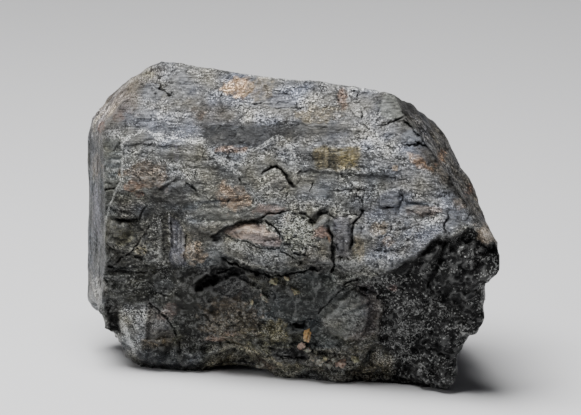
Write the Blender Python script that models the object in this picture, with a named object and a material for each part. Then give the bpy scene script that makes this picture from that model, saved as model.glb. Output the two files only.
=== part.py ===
"""A ferberite specimen: one stout crystal with a broken underside and a broken right end.

Metres, +Z up. The crystal's long axis lies near X, its right end turned towards -Y. The origin is
under the middle of the piece, on the surface that it rests on. The block is cut by its crystal
faces and its breaks, then the ledges, cracks, plates and hollows of its front are raised and sunk.
"""

import math

import bmesh
import bpy
import numpy as np
from mathutils import Matrix, Vector, noise

for old in list(bpy.data.objects):
    bpy.data.objects.remove(old)

MM = 0.001

# Driving dimensions, in millimetres and degrees
BLOCK = 200.0  # the raw block, larger than any face lies out
CENTRE = Vector((0.0, -3.0, 26.0))  # face distances are measured from here
AXIS_TURN = -18.0  # the striations' direction, about Z from +X
VIEW_TILT = 14.0  # the front's relief is laid out on a plane that leans back by this much
GRID = 0.85  # spacing of the surface's points before it is thinned
TRIANGLES_KEPT = 9400
FACE_BLEND = 0.8  # how far two neighbouring faces mix their surfaces across their edge
ORIGIN = Vector((0.2, -0.2, -1.3))  # under the middle of the finished piece, on its resting flats

# Each face: which way it looks (turn about Z from +X, rise above level) and how far out it lies.
CRYSTAL_FACES = {
    "upper front": (-109.0, 40.5, 16.9),
    "front": (-108.0, 11.4, 12.3),
    "left end": (-168.8, 1.6, 32.2),
    "left front bevel": (-124.0, 10.0, 19.2),
    "upper left bevel": (-173.9, 40.6, 34.8),
    "upper left back bevel": (135.0, 57.3, 33.9),
    "left back bevel": (138.0, -4.0, 37.6),
    "right bevel": (0.0, 37.6, 28.6),
    "right end": (12.0, 8.0, 30.0),
    "upper back": (63.0, 66.0, 22.7),
    "back": (74.0, 6.0, 22.5),
    "right back bevel": (42.0, 10.0, 29.5),
}
BROKEN_FACES = {
    "lower front break": (-106.0, -20.0, 14.0),
    "lower left break": (-165.0, -30.5, 36.0),
    "right end break": (10.0, -17.8, 30.9),
    "lower back break": (84.0, -38.0, 25.5),
    "underside": (0.0, -90.0, 27.6),
}

# Relief of the front, on its own plane: (across, up) from the origin, in millimetres.
# A ledge: below its line the surface lies `drop` deeper, and comes back over `reach`.
LEDGES = {
    "overhang": {
        "line": [(-17.5, 19), (-14.5, 22), (-12, 22.5), (-9, 24), (-6, 25), (-3.5, 23), (-0.5, 19.5)],
        "drop": 2.2,
        "reach": 6.0,
    },
    "slab lip": {
        "line": [(-16, 20), (-11.5, 19), (-8.5, 17.5), (-4.5, 16), (-0.5, 15.5)],
        "drop": 2.6,
        "reach": 6.0,
    },
    "front's lower edge": {
        "line": [(-1.5, 15.5), (2, 16), (7, 16), (13.5, 14.5)],
        "drop": 1.8,
        "reach": 7.0,
    },
    "upper band": {"line": [(-18, 42), (-4.5, 41), (12, 39.5), (19, 39)], "drop": 0.7, "reach": 3.0},
    "middle slab": {"line": [(0.5, 33), (6, 32.5), (12, 32), (20, 31.5)], "drop": 0.8, "reach": 4.0},
    "left slab": {
        "line": [(-19, 31), (-16.5, 29.5), (-14, 28.5), (-9, 28)],
        "drop": 0.8,
        "reach": 3.5,
    },
    "left ledge": {"line": [(-32.5, 27), (-27.5, 25.5), (-25.5, 22)], "drop": 1.2, "reach": 4.0},
    "low left ledge": {"line": [(-33, 20), (-29.5, 19), (-24.5, 17.5)], "drop": 1.2, "reach": 4.0},
    "hollow's brow": {"line": [(-31, 29), (-27, 29.5), (-22, 28), (-17.5, 25)], "drop": 1.4, "reach": 4.0},
    "foot's edge": {"line": [(9, -1), (16, -2.5), (22, -4)], "drop": 1.2, "reach": 3.0},
}
# A crack: a groove along its line.
CRACKS = {
    "round": {"line": [(-5, 32), (-4, 33), (-2, 33), (-0.5, 31), (0.5, 30)], "depth": 1.0, "width": 1.2},
    "upright": {"line": [(6.5, 23.5), (7, 20), (7, 16), (6.5, 14.5)], "depth": 1.4, "width": 1.4},
    "beside the block": {
        "line": [(12, 27), (12, 25), (10.5, 23.5), (10, 19.5)],
        "depth": 1.0,
        "width": 1.2,
    },
    "left groove": {"line": [(-26, 26.5), (-28, 20), (-29.5, 17)], "depth": 1.5, "width": 2.0},
    "left foot": {"line": [(-25, 10), (-22.5, 8), (-20.5, 5.5), (-20.5, 2)], "depth": 1.2, "width": 1.4},
    "break's valley": {"line": [(26, 22), (26, 17.5)], "depth": 1.6, "width": 2.6},
    "bevel notch": {"line": [(19, 41.5), (21.5, 40)], "depth": 1.0, "width": 1.4},
    "low bevel notch": {"line": [(20.5, 37.8), (23, 36.8)], "depth": 1.0, "width": 1.4},
}
# A lump stands out and a pit goes in: centre, half sizes, turn, height.
LUMPS = {
    "lens": {"at": (-6.5, 21.8), "half": (4.5, 2.2), "turn": -16, "high": 1.3},
    "granular slab": {"at": (-5, 18.6), "half": (6.5, 2.2), "turn": -12, "high": 1.3},
    "knob": {"at": (5.3, 24.2), "half": (1.4, 1.4), "turn": 0, "high": 0.8},
    "column": {"at": (-22, 21.3), "half": (1.0, 5.6), "turn": 0, "high": 1.5},
    "strip": {"at": (-19.8, 18.8), "half": (1.4, 4.0), "turn": -4, "high": 1.1},
    "tan patch": {"at": (-17.5, 18.3), "half": (1.6, 2.2), "turn": 0, "high": 1.1},
    "left nose": {"at": (-30, 22.8), "half": (2.2, 2.0), "turn": 0, "high": 1.2},
    "low left block": {"at": (-26.5, 14.3), "half": (4.5, 2.6), "turn": -8, "high": 1.2},
    "left foot": {"at": (-25.5, 4.5), "half": (5.5, 5.0), "turn": -20, "high": 1.8},
    "foot ridge": {"at": (-10, 4), "half": (7.5, 4.0), "turn": -6, "high": 1.2},
    "foot ridge end": {"at": (1.0, 0.5), "half": (6.0, 2.4), "turn": -6, "high": 1.4},
    "spur": {"at": (24.0, 18.4), "half": (1.3, 4.6), "turn": -30, "high": 2.0},
    "break's shoulder": {"at": (30.5, 15.0), "half": (4.5, 5.5), "turn": 10, "high": 1.8},
    "break's belly": {"at": (20.5, 9.0), "half": (6.0, 5.0), "turn": 25, "high": 1.6},
    "break's foot": {"at": (24.5, -1.5), "half": (4.5, 4.0), "turn": 0, "high": 3.0},
    "break's side": {"at": (28.5, 4.5), "half": (3.5, 5.0), "turn": 12, "high": 1.6},
    "left pit": {"at": (-29.5, 24.2), "half": (2.4, 1.0), "turn": 0, "high": -1.2},
    "low left pit": {"at": (-26.2, 17.6), "half": (2.0, 0.9), "turn": 0, "high": -1.6},
    "hollow under the slab": {"at": (-16.8, 14.2), "half": (3.0, 1.5), "turn": 20, "high": -2.4},
    "knob's hollow": {"at": (4.5, 25.6), "half": (2.6, 1.0), "turn": 25, "high": -1.3},
    "crevice of the grain": {"at": (1.3, 9.2), "half": (2.2, 1.0), "turn": -10, "high": -1.2},
}
# A plate is raised inside its outline, or sunk; its edge slopes over `edge`.
PLATES = {
    "left hollow": {
        "outline": [(-32, 28.5), (-29, 30), (-24.5, 29), (-18.5, 27), (-16.5, 21), (-18.5, 16)]
        + [(-20.5, 10.5), (-24.5, 10), (-30, 12), (-32.5, 12.5)],
        "high": -3.2,
        "edge": 4.0,
    },
    "right break": {
        "outline": [(8.5, 12.5), (12.5, 13.5), (15, 16.5), (19, 17), (22.5, 20.5), (26.5, 24.5)]
        + [(29, 22.5), (31.5, 23.5), (34, 22), (38, 22), (40, 0), (30, -9), (11, -9), (10, -1)]
        + [(13, 4), (13.5, 9)],
        "high": -1.8,
        "edge": 1.2,
    },
    "low plate": {
        "outline": [(4.5, 8), (7.5, 10), (12.5, 10.5), (13.5, 6), (12, 3.5), (7.5, 4.8)],
        "high": 1.5,
        "edge": 1.6,
    },
    "column block": {"outline": [(7.4, 24.5), (10.1, 25), (10.1, 18), (7.6, 18)], "high": 0.5, "edge": 0.6},
    "slab block": {"outline": [(14.5, 29.5), (18.5, 30), (18.5, 26.5), (15, 26.5)], "high": 0.7, "edge": 0.9},
    "left foot facet": {
        "outline": [(-25, 9.5), (-21, 5.5), (-20.5, 4), (-25, 4.5)],
        "high": -0.9,
        "edge": 1.5,
    },
}
# Lumps and pits of the sides and underside: centre (x, y, z), radius, height along the surface.
SIDE_LUMPS = {
    "right point": ((37.0, -26.5, 23.8), 4.0, -0.8),
    "under the right point": ((36.0, -24.5, 18.3), 4.6, -2.3),
    "right step": ((33.5, -21.0, 11.5), 3.4, 0.5),
    "under the right step": ((31.5, -21.0, 7.8), 3.4, -1.5),
    "right foot": ((27.5, -19.0, 0.5), 4.5, 1.4),
    "upper right step": ((31.0, -6.0, 33.5), 6.0, 0.8),
    "left front arch": ((-9.0, -6.0, -1.0), 9.0, -2.2),
    "left heel": ((-33.5, 5.0, 4.5), 6.0, -2.0),
    "left heel's back": ((-33.0, 12.0, 1.5), 6.0, -2.2),
    "upper left corner": ((-35.5, 15.5, 41.0), 4.5, -1.0),
    "left waist": ((-33.0, 2.0, 10.0), 3.0, -0.9),
    "back step": ((8.0, 22.0, 36.0), 11.0, 1.2),
    "back hollow": ((-14.0, 22.0, 16.0), 10.0, -2.4),
    "back shoulder": ((20.0, 14.0, 16.0), 9.0, 1.8),
    "underside arch": ((10.0, 6.0, -1.0), 12.0, -2.0),
}
# Roughness: how high and how far apart the bumps are.
BREAK_ROUGHNESS = ((1.5, 13.0), (0.9, 5.5), (0.45, 2.4))
CRYSTAL_ROUGHNESS = ((0.35, 10.0), (0.18, 3.5))
SLAB_STEP = 0.32  # how far the crystal's own slabs stand over each other
SLAB_LENGTH = 13.0
SLAB_HEIGHT = 2.6
SLAB_LEVELS = 3.0  # how finely the slabs' heights are stepped
SLAB_LEAN = 0.4  # how far the slabs dip towards the back
ENDS_FADE = 0.8  # the slabs fade out where a face looks this far along the axis
FRONT_FADE = 0.35  # the front's relief fades out where a face turns this far from it
REST_FLAT = 7.0  # radius of the smooth patch in the middle of the underside


def facing(turn, rise):
    turn, rise = math.radians(turn), math.radians(rise)
    return Vector((math.cos(rise) * math.cos(turn), math.cos(rise) * math.sin(turn), math.sin(rise)))


def cut_block():
    """The raw block cut by every face in turn, its cuts capped."""
    block = bmesh.new()
    bmesh.ops.create_cube(block, size=BLOCK)
    for turn, rise, distance in (CRYSTAL_FACES | BROKEN_FACES).values():
        outward = facing(turn, rise)
        cut = bmesh.ops.bisect_plane(
            block,
            geom=block.verts[:] + block.edges[:] + block.faces[:],
            plane_co=CENTRE + outward * distance,
            plane_no=outward,
            clear_outer=True,
        )
        rim = [part for part in cut["geom_cut"] if isinstance(part, bmesh.types.BMEdge)]
        bmesh.ops.contextual_create(block, geom=rim)
    bmesh.ops.recalc_face_normals(block, faces=block.faces)
    mesh = bpy.data.meshes.new("ferberite_crystal")
    block.to_mesh(mesh)
    block.free()
    return mesh


def apply_modifier(piece, kind, **settings):
    """The piece's mesh as the modifier leaves it, kept in the piece."""
    modifier = piece.modifiers.new(kind.title(), kind)
    for name, value in settings.items():
        setattr(modifier, name, value)
    seen = piece.evaluated_get(bpy.context.evaluated_depsgraph_get())
    piece.data = bpy.data.meshes.new_from_object(seen)
    piece.modifiers.remove(modifier)


def read_vectors(values, name):
    """A vector of each of a mesh's vertices or normals, as rows."""
    rows = np.empty(len(values) * 3)
    values.foreach_get(name, rows)
    return rows.reshape(-1, 3)


def ease(value):
    value = np.clip(value, 0.0, 1.0)
    return value * value * (3.0 - 2.0 * value)


def beside(points, line):
    """Each point's distance from a line, whether it lies on its right, and how far from its ends."""
    corners = np.array(line, float)
    nearest = np.full(len(points), np.inf)
    right = np.zeros(len(points))
    run = np.zeros(len(points))
    walked = 0.0
    for start, end in zip(corners, corners[1:]):
        step = end - start
        length = np.hypot(*step)
        share = np.clip((points - start) @ step / length**2, 0.0, 1.0)
        offset = points - start - share[:, None] * step
        distance = np.hypot(offset[:, 0], offset[:, 1])
        nearer = distance < nearest
        turned = step[0] * offset[:, 1] - step[1] * offset[:, 0]
        nearest = np.where(nearer, distance, nearest)
        right = np.where(nearer, np.sign(-turned), right)
        run = np.where(nearer, walked + share * length, run)
        walked += length
    return nearest, right, np.minimum(run, walked - run)


def inside(points, outline):
    """Whether each point lies inside an outline."""
    corners = np.array(outline, float)
    within = np.zeros(len(points), bool)
    for (x0, y0), (x1, y1) in zip(corners, np.roll(corners, -1, axis=0)):
        if y0 == y1:
            continue
        crosses = (points[:, 1] < y0) != (points[:, 1] < y1)
        at = x0 + (points[:, 1] - y0) * (x1 - x0) / (y1 - y0)
        within ^= crosses & (points[:, 0] < at)
    return within


def front_relief(points):
    """How far the front stands out at each (across, up)."""
    high = np.zeros(len(points))
    for ledge in LEDGES.values():
        distance, right, from_end = beside(points, ledge["line"])
        below = ease((distance * right + 0.4) / 0.8) * ease(1.0 - distance / ledge["reach"])
        high -= ledge["drop"] * below * ease(from_end / 1.5 + 0.1)
    for crack in CRACKS.values():
        distance, _, from_end = beside(points, crack["line"])
        high -= crack["depth"] * ease(1.0 - distance / crack["width"]) * ease(from_end + 0.5)
    for lump in LUMPS.values():
        turn = math.radians(lump["turn"])
        offset = points - np.array(lump["at"])
        along = offset[:, 0] * math.cos(turn) + offset[:, 1] * math.sin(turn)
        upward = offset[:, 1] * math.cos(turn) - offset[:, 0] * math.sin(turn)
        span = np.hypot(along / lump["half"][0], upward / lump["half"][1])
        high += lump["high"] * np.sqrt(np.clip(1.0 - span**3, 0.0, 1.0))
    for plate in PLATES.values():
        closed = plate["outline"] + plate["outline"][:1]
        distance, _, _ = beside(points, closed)
        high += plate["high"] * ease(distance / plate["edge"]) * inside(points, plate["outline"])
    return high


def face_shares(points):
    """How much each face owns each point, as shares that add up to one."""
    faces = list((CRYSTAL_FACES | BROKEN_FACES).values())
    outward = np.array([facing(turn, rise) for turn, rise, _ in faces])
    distance = np.array([face[2] for face in faces])
    depth = (points - np.array(CENTRE)) @ outward.T - distance
    share = np.exp(depth / FACE_BLEND)
    return share / share.sum(axis=1, keepdims=True)


def roughness(points, scales, seed):
    shift = Vector((seed, 2 * seed, 3 * seed))
    rough = np.zeros(len(points))
    for high, apart in scales:
        rough += [high * noise.noise(Vector(p) / apart + shift) for p in points]
    return rough


def slabs(points):
    """Steps between the crystal's slabs, which run along its axis."""
    turn = math.radians(AXIS_TURN)
    along = points[:, 0] * math.cos(turn) + points[:, 1] * math.sin(turn)
    across = points[:, 1] * math.cos(turn) - points[:, 0] * math.sin(turn)
    rise = points[:, 2] - SLAB_LEAN * across
    level = [
        noise.noise(Vector((a / SLAB_LENGTH, r / SLAB_HEIGHT, 7.5)))
        for a, r in zip(along, rise)
    ]
    return SLAB_STEP * np.round(np.array(level) * SLAB_LEVELS)


def shape_surface(piece):
    """Raise and sink the surface's points."""
    points = read_vectors(piece.data.vertices, "co")
    normals = read_vectors(piece.data.vertex_normals, "vector")
    share = face_shares(points)
    names = list(CRYSTAL_FACES | BROKEN_FACES)
    broken = share[:, len(CRYSTAL_FACES) :].sum(axis=1)
    underside = share[:, names.index("underside")]

    tilt = math.radians(VIEW_TILT)
    into_front = np.array([0.0, math.cos(tilt), -math.sin(tilt)])
    across_up = np.column_stack(
        [points[:, 0], points[:, 2] * math.cos(tilt) + points[:, 1] * math.sin(tilt)]
    )
    front = ease(-(normals @ into_front) / FRONT_FADE)
    relief = front_relief(across_up) * front

    smooth_rest = 1.0 - underside * ease(2.0 - np.hypot(points[:, 0], points[:, 1]) / REST_FLAT)
    rough = roughness(points, BREAK_ROUGHNESS, 3.1) * broken * smooth_rest
    rough += roughness(points, CRYSTAL_ROUGHNESS, 5.7) * (1.0 - broken)
    rough += slabs(points) * (1.0 - broken) * ease(1.0 - abs(normals[:, 0]) / ENDS_FADE)
    for centre, radius, high in SIDE_LUMPS.values():
        distance = np.linalg.norm(points - np.array(centre), axis=1)
        rough += high * ease(1.4 * (1.0 - distance / radius))

    points += normals * rough[:, None] - relief[:, None] * into_front
    piece.data.vertices.foreach_set("co", points.ravel())


def stand_on_floor(piece):
    """Cut off level where it rests, with the origin under its middle."""
    piece.data.transform(Matrix.Scale(MM, 4) @ Matrix.Translation(-ORIGIN))
    stone = bmesh.new()
    stone.from_mesh(piece.data)
    cut = bmesh.ops.bisect_plane(
        stone,
        geom=stone.verts[:] + stone.edges[:] + stone.faces[:],
        plane_co=(0, 0, 0),
        plane_no=(0, 0, -1),
        clear_outer=True,
    )
    rim = [part for part in cut["geom_cut"] if isinstance(part, bmesh.types.BMEdge)]
    bmesh.ops.triangle_fill(stone, edges=rim, use_beauty=True)
    bmesh.ops.recalc_face_normals(stone, faces=stone.faces)
    stone.to_mesh(piece.data)
    stone.free()


def ferberite():
    """Black, faintly metallic ferberite."""
    material = bpy.data.materials.new("ferberite")
    material.use_nodes = True
    shader = material.node_tree.nodes["Principled BSDF"]
    shader.inputs["Base Color"].default_value = (0.055, 0.055, 0.057, 1.0)
    shader.inputs["Metallic"].default_value = 0.2
    shader.inputs["Roughness"].default_value = 0.45
    return material


def ferberite_crystal():
    piece = bpy.data.objects.new("ferberite_crystal", cut_block())
    bpy.context.scene.collection.objects.link(piece)
    apply_modifier(piece, "REMESH", mode="VOXEL", voxel_size=GRID)
    shape_surface(piece)
    triangles = sum(len(face.vertices) - 2 for face in piece.data.polygons)
    apply_modifier(piece, "DECIMATE", ratio=TRIANGLES_KEPT / triangles)
    stand_on_floor(piece)
    piece.data.materials.append(ferberite())
    return piece


ferberite_crystal()
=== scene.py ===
import itertools
import math

import bpy
import numpy as np
from mathutils import Matrix, Vector, noise


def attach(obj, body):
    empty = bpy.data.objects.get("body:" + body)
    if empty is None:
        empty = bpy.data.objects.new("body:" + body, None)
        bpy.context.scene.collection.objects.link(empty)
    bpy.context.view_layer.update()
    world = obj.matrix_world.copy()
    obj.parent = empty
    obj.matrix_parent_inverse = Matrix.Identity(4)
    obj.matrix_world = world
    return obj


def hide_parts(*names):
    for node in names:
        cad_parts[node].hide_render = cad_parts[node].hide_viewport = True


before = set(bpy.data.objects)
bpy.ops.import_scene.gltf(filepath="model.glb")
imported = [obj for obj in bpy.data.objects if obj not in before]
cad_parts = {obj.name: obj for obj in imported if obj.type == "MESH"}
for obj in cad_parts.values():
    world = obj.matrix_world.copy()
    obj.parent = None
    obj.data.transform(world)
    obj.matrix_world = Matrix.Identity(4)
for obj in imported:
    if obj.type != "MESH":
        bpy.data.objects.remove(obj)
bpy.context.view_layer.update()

MM = 0.001


# ---- Where it is seen from --------------------------------------------------------------------
# The specimen fills most of a wide frame. It is seen a little from above, square to its long
# front, through a long lens that keeps its edges nearly parallel.

VIEW_RISE = math.radians(14.0)
VIEW_DISTANCE = 1.2
FRAME_WIDTH = 100.7 * MM  # what the frame takes in at the specimen
FRAME_CENTRE = Vector((-0.46, -7.8, 30.6)) * MM

towards_camera = Vector((0.0, -math.cos(VIEW_RISE), math.sin(VIEW_RISE)))
bpy.ops.object.select_all(action="DESELECT")
bpy.ops.object.camera_add(
    location=FRAME_CENTRE + towards_camera * VIEW_DISTANCE,
    rotation=(math.pi / 2 - VIEW_RISE, 0.0, 0.0),
)
camera = bpy.context.object
camera.data.sensor_width = 36.0
camera.data.lens = camera.data.sensor_width * VIEW_DISTANCE / FRAME_WIDTH
camera.data.clip_end = 10.0
bpy.context.scene.camera = camera


# ---- The crystal: its block of faces ----------------------------------------------------------
# One stout crystal of ferberite, an iron tungstate. Its faces grew flat and striated along its
# axis, and its underside and right end broke off rough. It is one solid, cut here face by face
# from a block and covered with an even net of points, finer where cracks and ledges run.

ORIGIN = Vector((0.2, -0.2, -1.3))  # the resting point, in the measures below
CENTRE = Vector((0.0, -3.0, 26.0))  # face distances are measured from here, in millimetres
AXIS_TURN = math.radians(-18.0)
BLOCK = 200 * MM  # what the faces are cut from
NET = 0.68 * MM  # spacing of the points; the front has two, and its cracks four, in that length
FACES = {  # turn and rise in degrees, distance in millimetres
    "upper front": (-109.0, 40.5, 16.9),
    "front": (-108.0, 11.4, 12.3),
    "left end": (-168.8, 1.6, 32.2),
    "left front bevel": (-124.0, 10.0, 19.2),
    "upper left bevel": (-173.9, 40.6, 34.8),
    "upper left back bevel": (135.0, 57.3, 33.9),
    "left back bevel": (138.0, -4.0, 37.6),
    "right bevel": (0.0, 37.6, 28.6),
    "right end": (12.0, 8.0, 30.0),
    "upper back": (63.0, 66.0, 22.7),
    "back": (74.0, 6.0, 22.5),
    "right back bevel": (42.0, 10.0, 29.5),
    "lower front break": (-106.0, -20.0, 14.0),
    "lower left break": (-165.0, -30.5, 36.0),
    "right end break": (10.0, -17.8, 30.9),
    "lower back break": (84.0, -38.0, 25.5),
    "underside": (0.0, -90.0, 27.6),
}
FACE_NAMES = list(FACES)


def facing(turn, rise):
    turn, rise = math.radians(turn), math.radians(rise)
    return Vector((math.cos(rise) * math.cos(turn), math.cos(rise) * math.sin(turn), math.sin(rise)))


bpy.ops.object.select_all(action="DESELECT")
bpy.ops.mesh.primitive_cube_add(size=BLOCK)
crystal = bpy.context.object
crystal.name = "striated_crystal"
bpy.ops.object.mode_set(mode="EDIT")
for turn, rise, distance in FACES.values():
    outward = facing(turn, rise)
    bpy.ops.mesh.select_all(action="SELECT")
    bpy.ops.mesh.bisect(
        plane_co=(CENTRE + outward * distance) * MM,
        plane_no=outward,
        use_fill=True,
        clear_outer=True,
    )
bpy.ops.mesh.select_all(action="SELECT")
bpy.ops.mesh.normals_make_consistent()
bpy.ops.object.mode_set(mode="OBJECT")
crystal.data.remesh_voxel_size = NET
bpy.ops.object.voxel_remesh()


# ---- The crystal: its ledges, cracks and lumps ------------------------------------------------
# The front weathered into slabs that lie along the axis, with steps, cracks and pits between
# them. They are measured on a plane square to the view, as (across, up) in millimetres.

FINE_STRIP = 0.36  # the net is finer this far on either side of a line

# Below its line the surface lies deeper by the drop, and comes back over the reach.
LEDGES = {  # line, drop, reach
    "overhang": ([(-14.2, 21.4), (-13, 22.1), (-12, 22.6), (-10.7, 23.3), (-9, 24), (-6.4, 24.5),
                  (-4.7, 24.1)], 1.3, 3.0),
    "slab lip": ([(-11.8, 18.4), (-10.1, 17.6), (-8.5, 17), (-6.4, 16), (-4.2, 15.5),
                  (-0.3, 15.1)], 1.8, 5.0),
    "lower edge": ([(-1.5, 15.4), (2, 16), (7, 16.2), (13.5, 14.8)], 1.0, 5.0),
    "upper band": ([(-4.5, 41), (2, 40.7), (12, 39.5), (19, 39)], 0.12, 2.0),
    "middle slab": ([(0.5, 33), (5.9, 32.6), (12, 32.1), (15.1, 32.1), (20.1, 31.4)], 0.4, 3.0),
    "left slab": ([(-18.6, 30.9), (-17.5, 30.4), (-16.6, 29.3), (-16.3, 28.3)], 0.5, 2.0),
    "left ledge": ([(-32.5, 27), (-27.5, 25.5), (-25.5, 22)], 0.6, 3.0),
    "low left ledge": ([(-33, 20), (-29.5, 19), (-24.5, 17.5)], 0.6, 3.0),
    "brow": ([(-31, 29), (-27, 29.5), (-22, 28), (-17.5, 25)], 0.4, 3.0),
    "foot edge": ([(9, -1), (16, -2.5), (22, -4)], 1.2, 3.0),
    "block foot": ([(7.1, 15), (10.1, 15.1), (13.2, 15)], 0.5, 1.6),
    "block top": ([(7.1, 17.9), (8.8, 18.1), (10.4, 17.9)], 0.25, 1),
    "right ledge": ([(19.6, 27.8), (21, 27.3), (22.4, 27.4)], 0.3, 1),
    "pink ledge": ([(19.6, 26.4), (20.8, 25.7), (22.9, 25.5), (25.5, 25.9)], 0.45, 1.4),
    "end strip": ([(-29.5, 38.2), (-29.5, 32.3), (-30.5, 29.5), (-31.7, 26.9), (-32.4, 24.3)], 0.45, 1.6),
    "end strip step 1": ([(-32.2, 36.4), (-29.6, 36.6)], 0.2, 0.8),
    "end strip step 2": ([(-32.2, 35.1), (-29.6, 35.1)], 0.2, 0.8),
    "end strip step 3": ([(-32.2, 33.5), (-29.6, 33.5)], 0.2, 0.8),
    "end strip step 4": ([(-32.2, 31.9), (-30, 32.1)], 0.2, 0.8),
    "block step": ([(-30.3, 24.7), (-27.6, 24.5), (-26.5, 25)], 0.9, 2),
    "block layer": ([(-30.2, 26.4), (-28.1, 26), (-25.8, 27.1)], 0.3, 0.9),
    "blue facet": ([(-23.6, 29.7), (-21.5, 30.7), (-19.1, 32.3)], 0.5, 1.6),
    "blue facet line": ([(-23.2, 31.1), (-21.1, 31.6), (-19.2, 32.6)], 0.15, 0.6),
    "low dark step": ([(-32.6, 15.6), (-29.5, 16.2), (-24.6, 15.5)], 0.5, 1.6),
    "low dark step 2": ([(-32.2, 13.7), (-28.1, 13.4), (-24.1, 12.9)], 0.35, 1.2),
    "plate rim": ([(5.2, 6.1), (7.3, 5.1), (9.2, 4), (12, 3.9)], 0.5, 1.2),
    "plate layer": ([(4.5, 6.8), (7.5, 6.6), (11.4, 5.4)], 0.2, 0.7),
    "foot layer 1": ([(-5.2, 2.7), (-0.3, 2.3), (6.6, 2), (10.4, 1.4)], 0.5, 1.4),
    "foot layer 2": ([(-5.2, 1.4), (-1.2, 0.9), (3.1, 0.6)], 0.5, 1.4),
    "foot layer 3": ([(10.4, 2.5), (13.9, 1.8), (17.3, 1.3)], 0.4, 1.2),
    "foot layer 4": ([(10.1, -1.9), (14.4, -2.4), (18.7, -2.5)], 0.4, 1.2),
    "foot left layer": ([(-14.9, 1.8), (-10.7, 2.1), (-6.2, 1.4)], 0.3, 1.2),
    "foot left layer 2": ([(-15.9, -0.1), (-11.4, 0.1), (-6.6, -0.5)], 0.3, 1.2),
    "dark smooth foot": ([(0, 6.6), (1.4, 7), (3.1, 6.6)], 0.8, 1.6),
    "slab streak 1": ([(-11.4, 18.4), (-8.3, 17), (-5.2, 16.2)], 0.3, 0.8),
    "upper step": ([(-26, 43.4), (-22.4, 43.6), (-17.7, 43)], 0.2, 0.8),
    "ridge step": ([(-11.1, 45.5), (-7.3, 44.6), (1.4, 44.4)], 0.2, 0.9),
    "front step 1": ([(-29.1, 37.1), (-25, 37.5), (-20.8, 37)], 0.25, 0.9),
    "front step 3": ([(-19.1, 33.7), (-15.1, 33.7), (-10.4, 33)], 0.25, 0.9),
    "front step 4": ([(1.4, 35.2), (3.5, 34.7), (5.9, 35.1)], 0.2, 0.8),
    "front step 5": ([(13.9, 35.1), (17.3, 34.7), (20.1, 35.2)], 0.2, 0.8),
    "front step 6": ([(7.3, 29.5), (10.4, 29.9), (13.9, 29.5)], 0.3, 0.9),
    "front step 7": ([(-14.9, 28.5), (-11.4, 27.6), (-7.6, 28)], 0.2, 0.8),
    "front step 8": ([(14.9, 23.3), (18, 22.8), (20.8, 23.3)], 0.3, 0.9),
    "front step 9": ([(12.7, 19.8), (15.9, 19.1), (19.1, 19.6)], 0.3, 0.9),
}
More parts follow.
